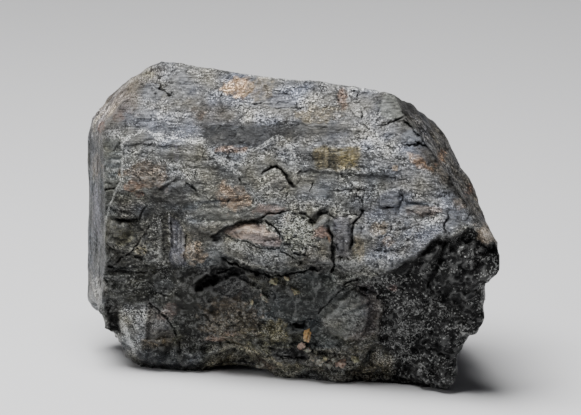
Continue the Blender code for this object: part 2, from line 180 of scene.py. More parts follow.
CRACKS = {  # line, depth, half width
    "round": ([(-5.2, 32.1), (-4.2, 33), (-3.1, 33.5), (-1.9, 33.2), (-1.2, 32.3), (-0.7, 31.1),
               (0.5, 29.9)], 0.9, 0.34),
    "upright": ([(6.4, 23.3), (6.9, 21.5), (6.9, 18.2), (7.1, 16), (6.6, 15.1)], 1.0, 0.34),
    "beside block": ([(12.1, 26.6), (11.8, 25), (10.7, 23.8), (10.4, 22.6), (10.2, 19.5)], 0.8, 0.26),
    "valley": ([(26.7, 21.5), (25.6, 17.7), (23.5, 13.5)], 0.7, 0.6),
    "bevel notch": ([(19.2, 41.5), (21.2, 40.2)], 0.7, 0.27),
    "low bevel notch": ([(21, 37.8), (22.9, 36.8)], 0.7, 0.27),
    "top left": ([(-23, 49.3), (-22.9, 47.2), (-21.8, 46.5), (-21.1, 45.8)], 0.45, 0.15),
    "top left hook": ([(-21.5, 45.8), (-20.8, 46.5), (-20.4, 45.8)], 0.33, 0.13),
    "ridge": ([(-6.9, 43.6), (-4.7, 43.6), (-4, 43.4), (-3.3, 43.7), (2.3, 43.7)], 0.2, 0.13),
    "ridge arch": ([(-3.6, 46.5), (-2.6, 46.5), (-0.9, 46.1), (0, 45.6)], 0.23, 0.13),
    "ochre top": ([(0.5, 43), (1.6, 43.6), (2.9, 43.7)], 0.23, 0.13),
    "slit 1": ([(7.6, 45.5), (8.1, 44.4)], 0.52, 0.15),
    "slit 2": ([(10.9, 47), (10.9, 46.3)], 0.52, 0.15),
    "slit 3": ([(11.3, 45.8), (11.1, 44.4)], 0.65, 0.2),
    "slit 4": ([(12.1, 43.2), (12, 41.8)], 0.59, 0.17),
    "plate under": ([(14.6, 40.8), (16.5, 41), (17.7, 41.5), (19.1, 42.3)], 0.39, 0.15),
    "plate side": ([(18.7, 45.1), (19.1, 43.9), (19.4, 42.7)], 0.33, 0.15),
    "small plate": ([(18.7, 37.8), (19.8, 37.1), (21.5, 37), (22.4, 37.7)], 0.45, 0.15),
    "round branch": ([(-2.9, 29.7), (-1.9, 29.5), (-0.9, 30.2)], 0.39, 0.15),
    "round tail": ([(-0.3, 29.2), (-1, 27.6), (-1.9, 27.3)], 0.33, 0.13),
    "round spur": ([(0.5, 29.9), (0.9, 30.6), (1.4, 31.4)], 0.33, 0.13),
    "pit": ([(-9, 31.6), (-8.8, 30.9)], 0.65, 0.22),
    "block left": ([(12.1, 29.9), (10.9, 28.8), (12.1, 27.6), (12.1, 26.6)], 0.45, 0.15),
    "slab right": ([(18.7, 29.5), (18.9, 28.1), (18.5, 26.7)], 0.52, 0.17),
    "slab foot": ([(15.3, 26.6), (17, 26.4), (18.5, 26.7)], 0.45, 0.15),
    "slab left": ([(14.6, 29.3), (15.1, 28), (14.9, 26.6)], 0.26, 0.13),
    "centre": ([(3.6, 31.1), (3.3, 30), (2.9, 29.2)], 0.33, 0.13),
    "upright branch": ([(7.1, 20.5), (7.6, 19.8), (8, 18.8)], 0.52, 0.15),
    "left top": ([(-17, 33.5), (-16.8, 32.8), (-16.5, 32.1)], 0.45, 0.15),
    "left slab": ([(-18.5, 30.9), (-17.5, 30.4), (-16.6, 29.3), (-16.3, 28.3)], 0.52, 0.17),
    "left short": ([(-27.4, 32.3), (-26.7, 31.6), (-26.2, 30.6)], 0.39, 0.15),
    "notch": ([(-32.9, 29.5), (-31.7, 29.7), (-30.3, 30)], 0.65, 0.27),
    "left foot crack": ([(-24.3, 11.8), (-22.9, 11.5), (-21.5, 11.1)], 0.4, 0.14),
    "facet crack": ([(-25, 9.9), (-22.7, 8), (-20.4, 5.6), (-20.1, 3.9)], 0.6, 0.24),
    "branch": ([(-6.9, 24), (-5.2, 24.8), (-3.8, 25.4), (-2.1, 25.7), (-0.2, 26)], 0.6, 0.26),
    "hole edge": ([(4.5, 25.5), (5.9, 25.5), (7.3, 24.8), (8.5, 24.5)], 0.39, 0.15),
    "wedge": ([(0, 25.4), (1.4, 25.5), (2.8, 25), (3.8, 24.1)], 0.59, 0.24),
    "block top": ([(8.8, 25), (10.4, 25.2), (11.8, 25.4)], 0.33, 0.13),
    "ledge end": ([(-2.9, 22.9), (-2.1, 21.5), (-2.3, 20.8)], 0.45, 0.17),
    "strip left": ([(-18.4, 22.2), (-18.5, 19.1), (-19.2, 16)], 0.4, 0.15),
    "spur left": ([(26.7, 25.2), (26.2, 23.4), (26.4, 21.8)], 0.5, 0.2),
    "blade": ([(8.8, 12.7), (10.4, 13.7), (12.1, 14.4)], 0.6, 0.3),
    "blade 2": ([(10.9, 13.9), (11.3, 14.8)], 0.39, 0.15),
    "low hollow": ([(-13.2, 14.6), (-11.4, 15.5), (-9.7, 16)], 0.52, 0.24),
    "base left": ([(-20.1, 3.9), (-19.4, 1.4)], 0.52, 0.2),
    "foot dark": ([(-3.1, 1.4), (-0.3, 0.7), (2.4, 0.4)], 0.4, 0.26),
    "far left 1": ([(-29.8, 37), (-29.1, 35.1)], 0.26, 0.13),
    "centre low": ([(2.3, 20.8), (3.3, 19.8), (4.9, 19.3)], 0.33, 0.15),
    "centre low 2": ([(-0.3, 18.8), (1.4, 18.1), (3.5, 18.4)], 0.33, 0.15),
    "lens foot": ([(-11.4, 21.5), (-9.4, 20.8), (-7.3, 20.2), (-5.2, 19.5), (-2.8, 19.3),
                   (-1.4, 20.2)], 0.4, 0.15),
    "lens fold": ([(-10.2, 22.2), (-9.2, 21.5), (-8, 20.8), (-6.2, 21), (-4.5, 20.7),
                   (-2.8, 20.8)], 0.22, 0.12),
    "lens right": ([(-4.7, 24.1), (-3.5, 23.4), (-2.3, 22.4), (-1.4, 20.8)], 0.6, 0.2),
    "slab under": ([(-12.1, 18.1), (-10.4, 17), (-8.1, 16.3), (-6.2, 15.3), (-3.8, 14.8), (-1.2, 14.6),
                    (1.4, 15), (4.5, 15.5)], 0.8, 0.26),
    "slab inside": ([(-2.8, 19.6), (-1.6, 18.8), (0, 18.1), (1.4, 16.9), (0.9, 15.6)], 0.5, 0.17),
    "slab inside 2": ([(1.4, 20.8), (2.4, 19.5), (1.9, 18.1)], 0.4, 0.15),
    "plate top": ([(4.5, 8), (6.2, 9.9), (8.3, 12), (10.1, 12.9)], 0.5, 0.17),
    "plate left": ([(2.4, 7.3), (4.5, 7), (6.9, 5.8)], 0.4, 0.15),
    "column line": ([(-20.9, 24.7), (-20.9, 20.8), (-21, 16.7)], 0.4, 0.13),
    "bevel edge": ([(19.1, 43.7), (20.1, 41), (21.8, 38.5), (23.6, 36.1), (25, 33.7)], 0.5, 0.3),
    "bevel edge low": ([(26.7, 31.9), (28.4, 29.2), (29.8, 26.7)], 0.4, 0.25),
    "hollow diagonal": ([(-24.6, 23.3), (-26.2, 21), (-27.7, 19.1), (-28.9, 17.9),
                         (-31.9, 16.2)], 0.5, 0.18),
    "block right": ([(-25.1, 27.1), (-26.2, 25.7), (-26.7, 24.3)], 0.4, 0.16),
}
LUMPS = {  # centre, half size, turn, height
    "lens": ((-6.9, 21.7), (5.2, 1.8), -12, 1.0),
    "granular slab": ((-5, 18.6), (6.5, 2.3), -12, 1.2),
    "knob": ((5.3, 24.2), (1.2, 1.2), 0, 0.8),
    "column": ((-22.9, 20.8), (0.5, 4.6), 0, 0.5),
    "strip": ((-19.8, 18.8), (1.4, 3.6), -4, 1.1),
    "tan patch": ((-17.5, 18.3), (1.3, 1.9), 0, 1.0),
    "left nose": ((-30, 22.8), (2.2, 1.6), 0, 1.1),
    "low left block": ((-26.5, 14.3), (4.5, 2.6), -8, 1.1),
    "left foot": ((-25.5, 4.5), (5.5, 5.0), -20, 1.8),
    "foot ridge": ((-10, 4), (7.5, 4.0), -6, 1.2),
    "foot ridge end": ((1.0, 0.5), (6.0, 2.4), -6, 1.4),
    "spur": ((24.0, 18.4), (0.9, 3.6), -36, 1.1),
    "shoulder": ((30.5, 15.0), (4.5, 5.5), 10, 1.6),
    "belly": ((20.5, 9.0), (6.0, 5.0), 25, 1.6),
    "foot": ((24.5, -1.5), (4.5, 4.0), 0, 2.8),
    "side": ((28.5, 4.5), (3.5, 5.0), 12, 1.6),
    "left pit": ((-29.5, 24.2), (1.8, 0.4), 0, -0.3),
    "low left pit": ((-26.6, 18.1), (1.0, 0.4), 0, -0.5),
    "foot lip": ((-11.0, 0.2), (6.5, 1.5), -4, 1.3),
    "foot lip left": ((-19.0, 0.4), (4.0, 1.4), 4, 0.9),
    "grain crevice": ((1.4, 6.3), (1.6, 0.3), -8, -0.8),
}
PLATES = {  # outline, height, width of its edge
    "left hollow": ([(-32, 28.5), (-29, 30), (-24.5, 29), (-18.5, 27), (-16.5, 21), (-18.5, 16),
                     (-20.5, 10.5), (-24.5, 10), (-30, 12), (-32.5, 12.5)], -2.4, 4.0),
    "right break": ([(10.1, 12.5), (13.2, 14.1), (15.4, 15.6), (17.5, 16.2), (21.1, 18.1), (22.5, 19.5),
                     (25, 21.9), (26.7, 21), (28.6, 22.1), (30.5, 23.6), (33.3, 21.7), (35.9, 19.3),
                     (38.1, 17.7), (40, 0.1), (30, -9.5), (11.1, -9.5), (10.1, -2), (14.6, 3.5),
                     (15.3, 10.4)], -1.8, 0.7),
    "low plate": ([(4.5, 6.8), (6.6, 8.4), (8.3, 10.5), (10.4, 11.8), (12.8, 11.1), (13.5, 8.4), (13, 5.9),
                   (12, 3.9), (9.2, 4), (7.3, 5.1), (5.2, 6.1)], 1.2, 0.5),
    "shadow wedge": ([(-17.7, 13.2), (-16.3, 14.1), (-13.9, 15.7), (-11.8, 17), (-9, 16.3), (-7.3, 15.3),
                      (-9, 14.1), (-11.4, 13.6), (-13.9, 12.7), (-15.9, 12.5)], -1.3, 0.8),
    "shadow wedge deep": ([(-17, 13.2), (-15.4, 14.3), (-13.5, 15), (-12.1, 14.3), (-13.2, 12.9),
                           (-15.3, 12), (-16.6, 12)], -1.2, 0.7),
    "column block": ([(7.4, 24.5), (10.1, 25), (10.1, 18), (7.6, 18)], 0.6, 0.4),
    "slab block": ([(14.5, 29.5), (18.5, 30), (18.5, 26.5), (15, 26.5)], 0.6, 0.5),
    "foot facet": ([(-25.3, 10.1), (-24.6, 10.1), (-22.9, 8.4), (-21.3, 6.3), (-20.4, 4.2), (-21.5, 3.7),
                    (-25.3, 3.5), (-25.5, 7)], -0.7, 0.5),
    "end plate": ([(15.8, 46), (18.6, 44.9), (19.3, 43), (18.8, 41.9), (14.8, 41), (15, 44.5)], 0.25, 0.25),
    "small end plate": ([(18.8, 39.6), (21, 39.2), (22.3, 38.1), (21.5, 37.1), (18.9, 37.8)], 0.25, 0.25),
    "blue plate": ([(-26.3, 47.8), (-23, 47.4), (-20.7, 45.8), (-23, 44.8), (-26.2, 45)], -0.15, 0.2),
    "ridge plate": ([(-4.4, 45.3), (-1.6, 46.3), (0, 45.3), (-0.4, 43.9), (-4.3, 43.9)], -0.15, 0.2),
    "ochre plate": ([(4, 37.1), (11.6, 36.2), (11.8, 33.4), (4.4, 32.9)], -0.15, 0.25),
    "knob hollow": ([(1.4, 25.4), (2.9, 24.3), (3.8, 25.4), (5.2, 26.6), (7.1, 26.4), (6.4, 25.4),
                     (5, 24.3), (3.8, 23.1), (2.3, 24)], -1.1, 0.4),
    "foot recess": ([(-32.8, 10.4), (-30.3, 11), (-29.8, 7.7), (-30, 4.6), (-31.9, 5.9)], -1.1, 0.5),
}
STRIPES = {  # outline, which way the lines run, their spacing, height
    "strip": ([(-21.1, 25), (-18.7, 22.2), (-18.7, 16), (-21.1, 15.6)], 88, 0.45, 0.3),
    "blue facet": ([(-23.6, 29.5), (-22.9, 31.2), (-19.8, 32.6), (-18.7, 31.9),
                    (-21.1, 29.9)], 24, 0.6, 0.1),
    "end strip": ([(-32.4, 37.8), (-29.6, 37.8), (-29.6, 31.9), (-32.2, 31.2)], 0, 0.8, 0.1),
    "dark centre": ([(-12.1, 17), (-7.3, 16.3), (-5.2, 12.2), (-9, 9.8), (-15.1, 7.3), (-17.7, 7.3),
                     (-16.6, 11.8)], -28, 0.8, 0.28),
    "left low": ([(-32.2, 17), (-24.6, 17), (-24.6, 11.8), (-31.9, 11.5)], 3, 0.8, 0.22),
    "foot layers": ([(-5.9, 4.2), (1.4, 3.5), (10.1, 3.2), (10.4, -1.3), (1.4, -1),
                     (-5.2, 0.1)], -3, 0.9, 0.25),
    "olive left": ([(-20.1, 15.3), (-16.3, 13.2), (-14.9, 7.3), (-19.4, 5.3),
                    (-20.8, 10.4)], -20, 0.9, 0.25),
    "dark flat": ([(-1.9, 13.9), (6.6, 14.3), (7.3, 8.4), (-0.3, 7.3)], 5, 0.9, 0.06),
    "facet": ([(-25.3, 9.4), (-22.9, 8), (-20.6, 4.9), (-24.6, 4.2)], 75, 0.7, 0.08),
    "centre band": ([(0.7, 30.6), (6.9, 30.6), (6.9, 26.7), (1, 26.7)], 0, 0.8, 0.1),
    "right ledges": ([(19.1, 28.5), (25.6, 28.1), (25.6, 25), (19.4, 25.2)], -3, 0.8, 0.14),
    "lens": ([(-10.7, 22.2), (-7.6, 24), (-5.2, 23.4), (-2.3, 20.8), (-4.5, 19.3),
              (-7.3, 20.3)], -14, 0.7, 0.1),
    "upper dark": ([(-15.3, 40.6), (-4.2, 41), (-4.2, 37), (-14.9, 37)], 0, 0.6, 0.03),
    "left mid": ([(-19.4, 28.1), (-9, 28.5), (-9, 24), (-15.9, 22.2), (-19.1, 24.7)], 3, 0.8, 0.12),
    "ochre": ([(3.8, 37.1), (11.6, 37.1), (11.6, 33), (3.8, 33)], 90, 0.6, 0.07),
    "low plate": ([(4.5, 6.8), (6.6, 8.4), (8.3, 10.4), (10.4, 11.8), (12.8, 11.1), (13.5, 8.4), (13, 5.9),
                   (12, 3.9), (9.2, 4), (7.3, 5.1)], 20, 0.7, 0.12),
    "spur": ([(25, 20.3), (26.9, 19.5), (23.6, 13.2), (21.3, 14.6)], 52, 0.6, 0.2),
}
CRUMBS = {  # outline, size of a crumb, height, how much they differ in shade
    "foot crust": ([(-16.6, 9.4), (-11.6, 10.8), (-5.2, 10.1), (1.4, 6.1), (9.2, 2.7), (10.1, -2.4),
                    (-6.1, -3.1), (-16.8, -1)], 1.3, 0.45, 0.35),
    "left block crumbs": ([(-26.7, 4.6), (-21.5, 4.6), (-20.8, 1.8), (-26.3, 1.4)], 1, 0.35, 0.3),
    "centre grains": ([(-2.1, 25.4), (1.4, 25.5), (4.5, 24.7), (6.2, 19.1), (1.4, 17),
                       (-1.7, 19.5)], 0.8, 0.3, 0.3),
    "hollow grains": ([(-27.9, 21.9), (-23.6, 22.4), (-22.5, 17.7), (-27.4, 17.4)], 0.8, 0.35, 0.35),
    "tan grains": ([(-18.7, 20.7), (-15.4, 20.8), (-15.9, 16.7), (-18.7, 16.3)], 0.7, 0.2, 0.25),
    "right grains": ([(12.1, 24.7), (18.7, 25.2), (23.9, 22.9), (20.8, 19.1), (13.5, 17)], 0.7, 0.16, 0.22),
}
SIDE_LUMPS = {  # centre, radius, height; these stand on the sides and back, measured in 3-D
    "right point": ((37.0, -26.5, 23.8), 4.0, -1.2),
    "under right point": ((36.0, -24.5, 16.5), 5.6, -2.8),
    "right step": ((33.5, -21.0, 10.5), 3.0, 0.1),
    "under right step": ((31.5, -21.0, 7.8), 3.4, -1.5),
    "right foot": ((27.5, -19.0, 0.5), 4.5, 1.4),
    "upper right step": ((31.0, -6.0, 33.5), 6.0, 0.8),
    "left front arch": ((-9.0, -6.0, -1.0), 9.0, -2.2),
    "left heel": ((-33.5, 5.0, 4.5), 6.0, -2.0),
    "left waist": ((-33.0, 2.0, 10.0), 3.0, -0.9),
    "back step": ((8.0, 22.0, 36.0), 11.0, 1.2),
    "back hollow": ((-14.0, 22.0, 16.0), 10.0, -2.4),
    "back shoulder": ((20.0, 14.0, 16.0), 9.0, 1.8),
    "underside arch": ((10.0, 6.0, -1.0), 12.0, -2.0),
    "left heel back": ((-33.0, 12.0, 1.5), 6.0, -2.2),
    "upper left corner": ((-35.5, 15.5, 41.0), 4.5, -1.0),
    "under right point 2": ((34.7, -22.0, 18.5), 5.0, -1.9),
    "under right step 2": ((29.6, -17.8, 4.6), 4.2, -1.2),
}


def read(values, name, width=1, kind=float):
    """A mesh's own values, one row for each point, edge or face."""
    out = np.empty(len(values) * width, kind)
    values.foreach_get(name, out)
    return out.reshape(-1, width) if width > 1 else out


def on_front(points):
    """Where points in millimetres fall on the front plane."""
    up = points[:, 2] * math.cos(VIEW_RISE) + points[:, 1] * math.sin(VIEW_RISE)
    return np.column_stack([points[:, 0], up])


def ease(value):
    """0 below 0 and 1 above 1, with a smooth rise between them."""
    value = np.clip(value, 0.0, 1.0)
    return value * value * (3.0 - 2.0 * value)


def beside(points, line):
    """Each point's distance from a line, whether it lies on its right, and how far from its ends."""
    corners = np.array(line, float)
    nearest = np.full(len(points), np.inf)
    right = np.zeros(len(points))
    run = np.zeros(len(points))
    walked = 0.0
    for start, end in zip(corners, corners[1:]):
        step = end - start
        length = np.hypot(*step)
        share = np.clip((points - start) @ step / length**2, 0.0, 1.0)
        offset = points - start - share[:, None] * step
        distance = np.hypot(offset[:, 0], offset[:, 1])
        nearer = distance < nearest
        turned = step[0] * offset[:, 1] - step[1] * offset[:, 0]
        nearest = np.where(nearer, distance, nearest)
        right = np.where(nearer, np.sign(-turned), right)
        run = np.where(nearer, walked + share * length, run)
        walked += length
    return nearest, right, np.minimum(run, walked - run)


def from_rim(points, outline):
    """Each point's distance from the rim of an outline."""
    return beside(points, outline + outline[:1])[0]


def inside(points, outline):
    """Whether each point lies within an outline."""
    corners = np.array(outline, float)
    within = np.zeros(len(points), bool)
    for (x0, y0), (x1, y1) in zip(corners, np.roll(corners, -1, axis=0)):
        if y0 == y1:
            continue
        crosses = (points[:, 1] < y0) != (points[:, 1] < y1)
        at = x0 + (points[:, 1] - y0) * (x1 - x0) / (y1 - y0)
        within ^= crosses & (points[:, 0] < at)
    return within


def within_oval(points, centre, half, turn):
    """0 at an oval's centre and 1 on its edge."""
    turn = math.radians(turn)
    offset = points - np.array(centre)
    along = offset[:, 0] * math.cos(turn) + offset[:, 1] * math.sin(turn)
    upward = offset[:, 1] * math.cos(turn) - offset[:, 0] * math.sin(turn)
    return np.hypot(along / half[0], upward / half[1])


def refine(piece, chosen):
    """Doubles the points each way over the chosen faces."""
    bpy.ops.object.mode_set(mode="EDIT")
    bpy.ops.mesh.select_mode(type="FACE")
    bpy.ops.mesh.select_all(action="DESELECT")
    bpy.ops.object.mode_set(mode="OBJECT")
    piece.data.polygons.foreach_set("select", chosen)
    bpy.ops.object.mode_set(mode="EDIT")
    bpy.ops.mesh.subdivide(number_cuts=1)
    bpy.ops.object.mode_set(mode="OBJECT")


def faces_viewer(piece):
    return read(piece.data.polygons, "normal", 3) @ np.array(towards_camera) > 0.5


refine(crystal, faces_viewer(crystal))
middles = on_front(read(crystal.data.polygons, "center", 3) / MM)
near_line = np.zeros(len(middles), bool)
for line, _, _ in list(LEDGES.values()) + list(CRACKS.values()):
    near_line |= beside(middles, line)[0] < FINE_STRIP
refine(crystal, near_line & faces_viewer(crystal))


# ---- The crystal: its surface -----------------------------------------------------------------
# Growth steps and a mosaic of thin flakes cover the grown faces. The broken ones are hackly and
# granular. All of it is worked into the net of points.

RIBBED = ("left end", "upper left bevel", "right bevel", "right end", "right back bevel", "left back bevel")
FACE_BLEND = 0.8  # how far two faces run into each other at their edge
FLAKES = ((8.0, 3.4, 0.10, 0.07), (3.0, 1.4, 0.05, 0.04))  # length, height, rise, share cracked
SLABS = ((0.08, 13.0, 2.6, 7.5), (0.06, 5.0, 0.9, 2.5))  # step, length, thickness, seed
RIDGES = ((0.9, 7.0, 2.6, 2.2), (0.5, 3.0, 1.2, 5.2))  # height, length, spacing, seed
RIDGE_TURN = 55.0
BREAK_LUMPS = ((1.5, 13.0), (0.9, 5.5), (0.45, 2.4))  # height and size, and so in the next four
BREAK_FACETS = ((1.0, 4.6), (0.7, 2.1), (0.35, 1.0))
GRIT = ((0.28, 1.2), (0.16, 0.6))
FACE_WAVES = ((0.35, 10.0), (0.18, 3.5))
BEVEL_CHIPS = ((0.5, 1.8), (0.3, 0.8))
NOTCH = ((34.8, -23.5, 19.2), 3.9, 2.6)  # centre, radius and depth of the step below the right point
TIP_RADIUS = 4.2  # the right point is evened within this distance
RIGHT_REACH = 35.5
THORN = 0.24  # the most that a point may stand out from its neighbours


def spread(points, scale, seed):
    """A noise value at each point; scale is in millimetres, one for all directions or one for each."""
    stretched = points / np.array(scale) + seed
    return np.array([noise.noise(Vector(point)) for point in stretched])


def chance(cells, seed):
    """A number from 0 to 1 for each cell, always the same for the same cell and seed."""
    mixed = cells.astype(np.int64) @ np.array((73856093, 19349663, 83492791))[: cells.shape[1]]
    mixed = (mixed + 7919 * int(seed)) * 1274126177
    mixed = (mixed ^ (mixed >> 15)) * 2246822519
    return ((mixed ^ (mixed >> 13)) & 0xFFFF) / 0x10000


def mosaic(points, cell, seed):
    """Irregular cells: each point's own cell value, its neighbour's, its distance from the seam
    between them in cell sizes, and its height on the cell's own slanting facet."""
    grid = points / np.array(cell)
    axes = range(grid.shape[1])
    corner = np.floor(grid)
    first = np.full(len(grid), np.inf)
    second = np.full(len(grid), np.inf)
    own = corner.copy()
    other = corner.copy()
    seat = grid.copy()
    for step in itertools.product((-1, 0, 1), repeat=len(axes)):
        near = corner + step
        place = near + 0.15 + 0.7 * np.column_stack([chance(near, seed + 5 * axis) for axis in axes])
        distance = np.sqrt(((grid - place) ** 2).sum(axis=1))
        closer = distance < first
        between = ~closer & (distance < second)
        other[closer] = own[closer]
        other[between] = near[between]
        second = np.where(closer, first, np.where(between, distance, second))
        own[closer] = near[closer]
        seat[closer] = place[closer]
        first = np.where(closer, distance, first)
    lean = np.column_stack([chance(own, seed + 41 + axis) - 0.5 for axis in axes])
    slant = 2.0 * ((grid - seat) * lean).sum(axis=1)
    return chance(own, seed + 29), chance(other, seed + 29), second - first, slant


pairs = read(crystal.data.edges, "vertices", 2, np.int32)
count = len(crystal.data.vertices)
neighbours = np.bincount(pairs.ravel(), minlength=count)


def around(places):
    """The mean place of each point's neighbours."""
    means = []
    for values in places.T:
        total = np.bincount(pairs[:, 0], values[pairs[:, 1]], count)
        total += np.bincount(pairs[:, 1], values[pairs[:, 0]], count)
        means.append(total / neighbours)
    return np.column_stack(means)


points = read(crystal.data.vertices, "co", 3) / MM
normals = read(crystal.data.vertex_normals, "vector", 3)
into_front = -np.array(towards_camera)

outward = np.array([facing(turn, rise) for turn, rise, _ in FACES.values()])
depth = (points - np.array(CENTRE)) @ outward.T - np.array([face[2] for face in FACES.values()])
share = np.exp(depth / FACE_BLEND)
share /= share.sum(axis=1, keepdims=True)


def lies_on(*names):
    """How far each point lies on the faces of these names, from 0 to 1."""
    return share[:, [FACE_NAMES.index(name) for name in names]].sum(axis=1)


broken = lies_on(*FACE_NAMES[FACE_NAMES.index("lower front break") :])
underside = lies_on("underside")
ends = lies_on("left end", "right end")

# What is worked into the front fades out where the surface turns away from the viewer, and its
# colours a little later. Lines and outlines waver, as they do in stone.
plane = on_front(points)
front = ease(-(normals @ into_front) / 0.35)
seen = ease(-(normals @ into_front) / 0.16)
wobble = np.column_stack([spread(points, 1.6, 3.0), spread(points, 1.6, 9.0)])
ragged = np.column_stack([spread(points, 0.5, 13.0), spread(points, 0.5, 19.0)])
wavy = plane + 0.35 * wobble + 0.22 * ragged
uneven = 1.0 + 0.9 * spread(points, 1.1, 25.0)

relief = np.zeros(len(points))
# Painted shade under ledges and in cracks, pits, seams and crumbs, gathered for the material.
crevice = np.zeros(len(points))
for line, drop, reach in LEDGES.values():
    distance, right, from_end = beside(wavy, line)
    below = ease((distance * right + 0.1) / 0.2) * ease(1.0 - distance / reach)
    fades = ease(from_end / 1.2 + 0.1)
    relief -= drop * below * fades
    # The strip just under each ledge line is painted dark: a painted shadow under the ledge.
    shaded = fades * (right > 0) * ease(1.0 - distance / (0.1 + 0.18 * drop * uneven))
    crevice = np.maximum(crevice, shaded * min(1.0, 0.1 + 0.6 * drop))
for line, deep, wide in CRACKS.values():
    distance, _, from_end = beside(wavy, line)
    groove = ease(1.1 - distance / (wide * uneven)) * ease(from_end / 0.8 + 0.3)
    relief -= deep * groove
    # Each crack is painted dark along its groove: painted shade in the crack.
    crevice = np.maximum(crevice, groove * min(1.0, 0.45 + 0.5 * deep))
for centre, half, turn, high in LUMPS.values():  # a pit is a lump with a height below 0
    span = within_oval(wavy, centre, half, turn)
    bump = ease(1.35 * (1.0 - span) + 0.25) if high > 0 else ease(1.8 * (1.1 - span))
    relief += high * bump
    # A pit is painted dark as well: painted shade in the pit.
    if high < 0:
        crevice = np.maximum(crevice, 0.9 * bump)
for outline, high, edge in PLATES.values():
    relief += high * ease(from_rim(wavy, outline) / edge) * inside(wavy, outline)

# Flakes, on the grown part of the front only.
fractured = inside(wavy, PLATES["right break"][0]).astype(float)
hollow = inside(wavy, PLATES["left hollow"][0]).astype(float)
weathered = lies_on("lower front break") * (1.0 - fractured)
grown = 1.0 - np.maximum(broken - weathered, fractured)
for number, (long, tall, rise, cracked) in enumerate(FLAKES):
    bent = plane + 0.8 * wobble * (tall / 2.8) + 0.1 * ragged
    own, other, border, slant = mosaic(bent, (long, tall), 3 * number)
    relief += rise * (2.0 * own - 1.0 + 1.2 * slant) * grown
    split = (abs(own - other) * 7.31) % 1.0 < cracked
    seam = split * ease(1.0 - border * tall / 0.2) * grown
    relief -= 0.25 * seam
    # Each open seam is painted dark: painted shade in the seam.
    crevice = np.maximum(crevice, 0.6 * seam)


def lined(plane, turn, length, spacing, seed):
    """Noise drawn out into lines that run one way across the front plane."""
    turn = math.radians(turn)
    run = plane[:, 0] * math.cos(turn) + plane[:, 1] * math.sin(turn)
    over = plane[:, 1] * math.cos(turn) - plane[:, 0] * math.sin(turn)
    return spread(np.column_stack([run, over, np.zeros(len(plane))]), (length, spacing, 1.0), seed)


# Fine lines, and crumbs of granular crust, each with its own shade.
shade = np.zeros(len(points))
crumbly = np.zeros(len(points))
for outline, turn, spacing, high in STRIPES.values():
    there = inside(wavy, outline) & (front > 0.05)
    lines = lined(plane[there], turn, 12.0 * spacing, spacing, 6.2)
    lines *= ease(from_rim(plane[there], outline) / 0.5)
    relief[there] += 2.0 * high * lines
    shade[there] += 0.9 * lines
for outline, size, high, differ in CRUMBS.values():
    there = inside(wavy, outline) & (front > 0.05)
    amount = ease(from_rim(wavy[there], outline) / 0.8)
    crumb = abs(spread(points[there], size, 6.0))
    small = abs(spread(points[there], 0.45 * size, 8.0))
    relief[there] += 2.0 * high * amount * (crumb + 0.45 * small - 0.25)
    crumbly[there] = np.maximum(crumbly[there], 0.6 * amount)
    # The creases between crumbs are painted dark: painted shade.
    crevice[there] = np.maximum(crevice[there], 1.2 * high * amount * ease(1.0 - 14.0 * crumb))
    patchwork = np.clip(5.0 * spread(points[there], 1.4 * size, 4.0), -1.0, 1.0)
    shade[there] += differ * amount * patchwork

# The broken right end is hackly, with ridges that run steeply down it. The ridges are painted
# lighter and the grooves darker, painted light and shade, and the whole break a little darker.
for high, length, spacing, seed in RIDGES:
    ridges = fractured * (0.33 - abs(lined(plane + 0.4 * wobble, RIDGE_TURN, length, spacing, seed)))
    relief += high * ridges
    shade += 1.6 * ridges - 0.25 * fractured

# The crystal's own slabs, which run along its axis in steps.
turned = np.column_stack(
    [
        points[:, 0] * math.cos(AXIS_TURN) + points[:, 1] * math.sin(AXIS_TURN),
        points[:, 1] * math.cos(AXIS_TURN) - points[:, 0] * math.sin(AXIS_TURN),
        points[:, 2],
    ]
)
layered = turned * np.array([1.0, -0.4, 1.0])
layered[:, 2] += layered[:, 1]
layered[:, 1] = 0.0
rough = np.zeros(count)
for high, length, thickness, seed in SLABS:
    rough += high * np.round(spread(layered, (length, 1.0, thickness), seed) * 3.0)
rough *= 1.0 - broken
rough *= 1.0 - ends
hackly = np.maximum(broken * (1.0 - 0.6 * weathered), fractured * front)
for high, apart in BREAK_LUMPS:
    rough += high * spread(points, apart, 3.1) * broken * (1.0 - underside)
for high, apart in BREAK_FACETS:
    _, _, _, slant = mosaic(points + 0.25 * apart * wobble[:, :1], apart, 11)
    rough += high * slant * (0.06 + 0.94 * hackly) * (1.0 - underside)
for high, apart in GRIT:
    rough += high * spread(points, apart, 1.7) * (0.25 + 0.75 * hackly)
for high, apart in FACE_WAVES:
    rough += high * spread(points, apart, 5.7) * (1.0 - broken)
ribs = lies_on(*RIBBED)
ribbing = 0.30 * spread(points, (14.0, 2.4, 14.0), 4.4) + 0.16 * spread(points, (7.0, 1.3, 7.0), 4.9)
rough += ribbing * ribs
worn_bevel = lies_on("right bevel")
for high, apart in BEVEL_CHIPS:
    rough += high * spread(points, (apart, 2.0 * apart, apart), 8.3) * worn_bevel
for centre, radius, high in SIDE_LUMPS.values():
    distance = np.linalg.norm(points - np.array(centre), axis=1)
    rough += high * ease(1.4 * (1.0 - distance / radius))

moved = normals * rough[:, None] - (relief * front)[:, None] * into_front
for _ in range(2):
    moved = np.where(front[:, None] < 0.7, around(moved), moved)
points += moved

# The break steps in below the right point, which is blunt.
centre, radius, deep = NOTCH
distance = np.linalg.norm(points - np.array(centre), axis=1)
points[:, 0] -= deep * ease(1.4 * (1.0 - distance / radius))
tip = np.linalg.norm(points - np.array(SIDE_LUMPS["right point"][0]), axis=1) < TIP_RADIUS
for _ in range(14):
    points = np.where(tip[:, None], around(points), points)
points[:, 0] = np.minimum(points[:, 0], RIGHT_REACH)
points -= np.array(ORIGIN)

